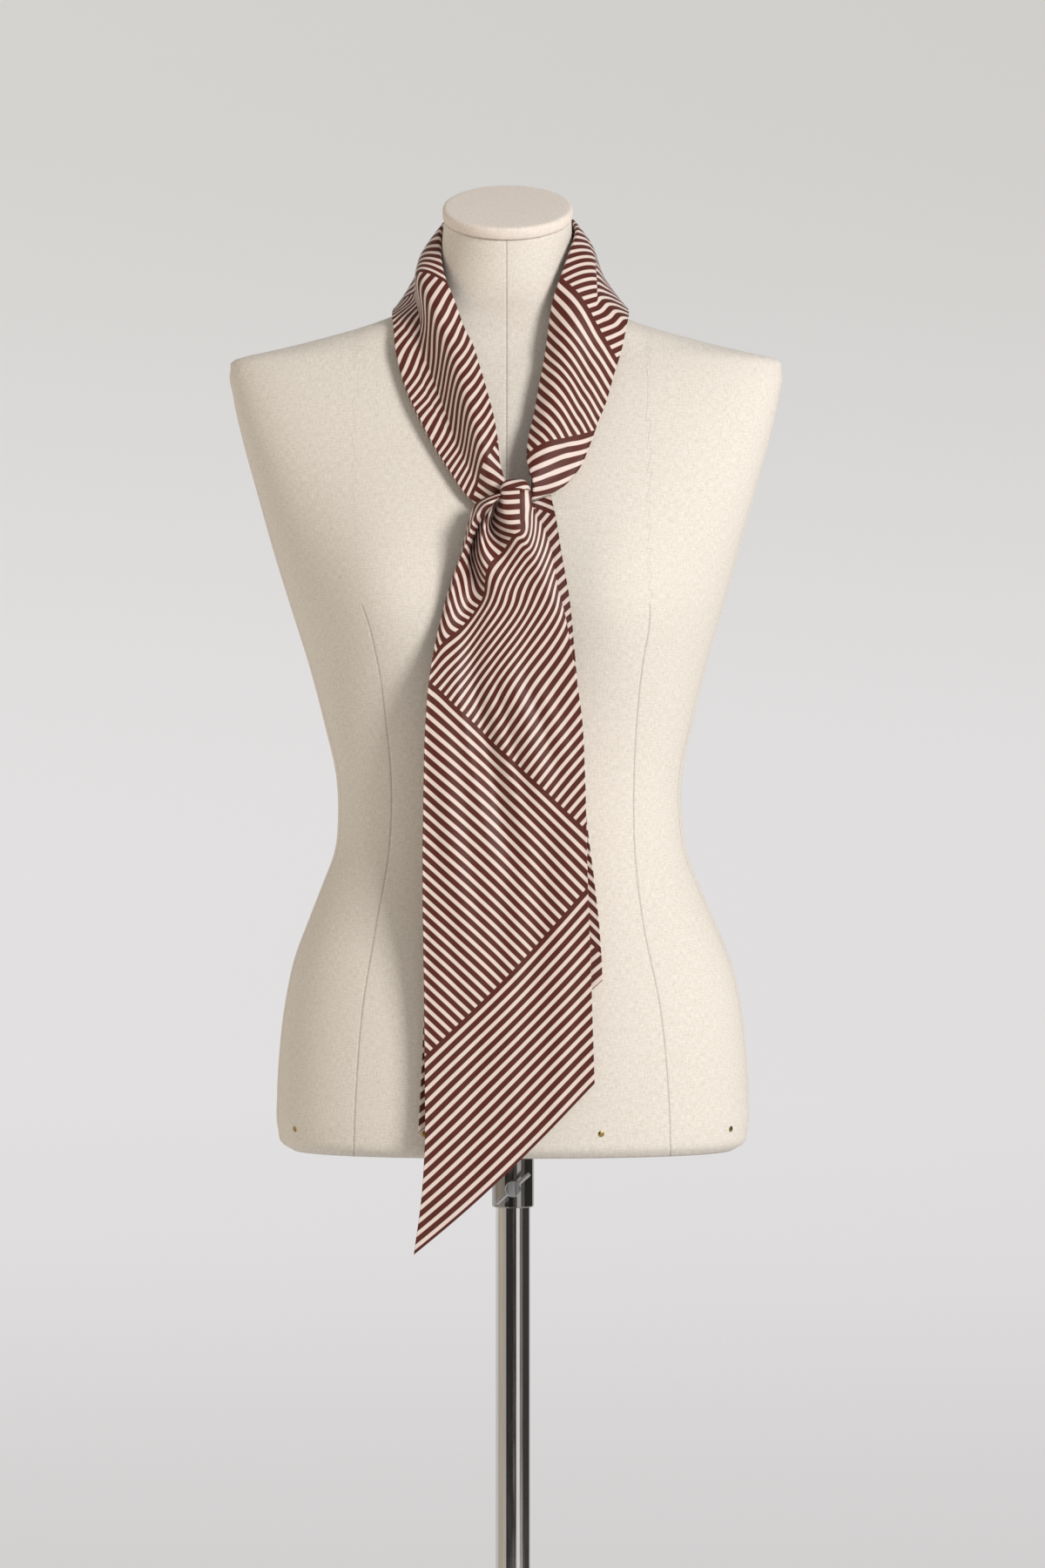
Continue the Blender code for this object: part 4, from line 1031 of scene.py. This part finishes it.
def build_knot():
    """The wound cloth behind the bridge, and the flat roll over its top."""
    ball = [(0.0, 0.0, -1.0)]
    for level in range(1, KNOT_LEVELS):
        turn = math.pi * level / KNOT_LEVELS
        for step in range(KNOT_AROUND):
            angle, wide = math.tau * step / KNOT_AROUND, math.sin(turn)
            ball.append((wide * math.cos(angle), wide * math.sin(angle), -math.cos(turn)))
    ball.append((0.0, 0.0, 1.0))
    points, flat = [], []
    for point in ball:
        squared = [math.copysign(abs(value) ** (2 / KNOT_SQUARENESS), value) for value in point]
        points.append(place(*(
            middle + half * value for middle, half, value in zip(KNOT_MIDDLE, KNOT_HALF_SIZES, squared)
        )))
        x, y, z = points[-1] / MM
        rise = z - HEM_HEIGHT - KNOT_MIDDLE[2] - ROLL_FALL_SIDE * x
        rise += ROLL_RISE_BACK * (y - KNOT_MIDDLE[1])
        flat.append(((rise - x) / math.sqrt(2) * MM, (KNOT_LENGTH_AT + (rise + x) / math.sqrt(2)) * MM))
    walls = ring_faces(KNOT_LEVELS - 1, KNOT_AROUND, capped=False)
    faces = [tuple(1 + wall[corner] for corner in (1, 2, 3, 0)) for wall in walls]
    top = len(points) - 1
    for step in range(KNOT_AROUND):
        after = (step + 1) % KNOT_AROUND
        faces.append((0, 1 + after, 1 + step))
        faces.append((top, top - KNOT_AROUND + step, top - KNOT_AROUND + after))
    core = new_piece("knot_core", points, faces, SILK, "scarf_knot")
    lay_cloth(core.data, flat)


# Camera, light and stage


def build_camera():
    data = bpy.data.cameras.new("camera")
    data.sensor_fit = "VERTICAL"
    data.sensor_height = FILM_HEIGHT
    data.lens = FILM_HEIGHT * FOCAL_PIXELS / PICTURE_HEIGHT
    camera = add_object("camera", data)
    camera.location = CAMERA_AT
    camera.rotation_euler = (math.pi / 2, 0.0, 0.0)
    bpy.context.scene.camera = camera


def area_light(name, location, target, size, power, colour):
    data = bpy.data.lights.new(name, "AREA")
    data.energy = power
    data.color = colour
    data.size = size
    made = add_object(name, data)
    made.location = location
    aim = Vector(target) - Vector(location)
    made.rotation_euler = aim.to_track_quat("-Z", "Y").to_euler()


def reflection_card(name, first, last, glow):
    """A tall curved card round the stand that glows though it is no lamp and only shows in its polished
    metal: a painted reflection.
    """
    n = Nodes(name)
    n.set(Base_Color=(0.0, 0.0, 0.0), Roughness=1.0, Emission_Color=glow, Emission_Strength=1.0)
    points = []
    for angle in np.radians(np.linspace(first, last, CARD_STEPS + 1)):
        for z in CARD_HEIGHTS:
            points.append((CARD_RADIUS * math.sin(angle), -CARD_RADIUS * math.cos(angle), z))
    faces = [(a, a + 2, a + 3, a + 1) for a in range(0, 2 * CARD_STEPS, 2)]
    card = mesh_object(name, points, faces, n.look)
    card.visible_camera = False
    card.visible_diffuse = False
    card.visible_shadow = False
    card.visible_transmission = False


def build_stage():
    """A round floor that curves up into a wall and glows with painted light, the sky's light, two lamps
    and four glowing cards that paint reflections in the metal.
    """
    profile = [(radius, 0.0) for radius in STUDIO_FLOOR]
    for turn in np.linspace(0.15, math.pi / 2, 12):
        radius = STUDIO_FLOOR[-1] + STUDIO_CURVE * math.sin(turn)
        profile.append((radius, STUDIO_CURVE - STUDIO_CURVE * math.cos(turn)))
    profile.append(STUDIO_TOP)
    points = []
    for radius, z in profile:
        for step in range(STUDIO_AROUND):
            angle = math.tau * step / STUDIO_AROUND
            points.append((radius * math.cos(angle), radius * math.sin(angle), z))
    faces = ring_faces(len(profile), STUDIO_AROUND, capped=False)
    studio = mesh_object("studio", points, faces, backdrop_look())
    studio.data.shade_smooth()
    studio.location = (0, 0, -STUDIO_DROP)
    world = bpy.data.worlds.new("world")
    bpy.context.scene.world = world
    world.use_nodes = True
    sky = world.node_tree.nodes["Background"]
    sky.inputs[0].default_value = (0.98, 0.99, 1.0, 1.0)
    sky.inputs[1].default_value = 0.30
    middle = (0, 0, 1.1)
    area_light("key", (2.2, -2.75, 2.15), middle, size=1.1, power=118.0, colour=(1.0, 0.985, 0.965))
    area_light("fill", (-3.5, -1.1, 1.5), middle, size=1.8, power=32.0, colour=(1.0, 0.83, 0.58))
    # Painted reflections in the metal: glowing cards, pale on the viewer's left and by the key, near
    # black in front and on the right
    reflection_card("left_reflection_card", -115, -56, (0.46, 0.40, 0.33))
    reflection_card("front_dark_card", -46, 13, (0.02, 0.018, 0.016))
    reflection_card("right_dark_card", 56, 140, (0.035, 0.03, 0.026))
    reflection_card("key_card", 15, 50, (0.80, 0.78, 0.76))
    bpy.context.scene.view_settings.view_transform = "Standard"


build_camera()
build_stage()
torso_surface = build_torso()
build_cap()
KEPT_LOOKS = {
    "form_sleeve": DARK_CHROME, "clamp_screw": SATIN_STEEL, "stand_pole": CHROME, "stand_base": CHROME,
}
KEPT_LOOKS.update({f"form_tack_{index}": BRASS for index in range(1, 9)})
for node, look in KEPT_LOOKS.items():
    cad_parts[node].data.materials.clear()
    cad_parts[node].data.materials.append(look)
build_knot()
build_front_tail()
build_back_tail(torso_surface)
build_neck(torso_surface)
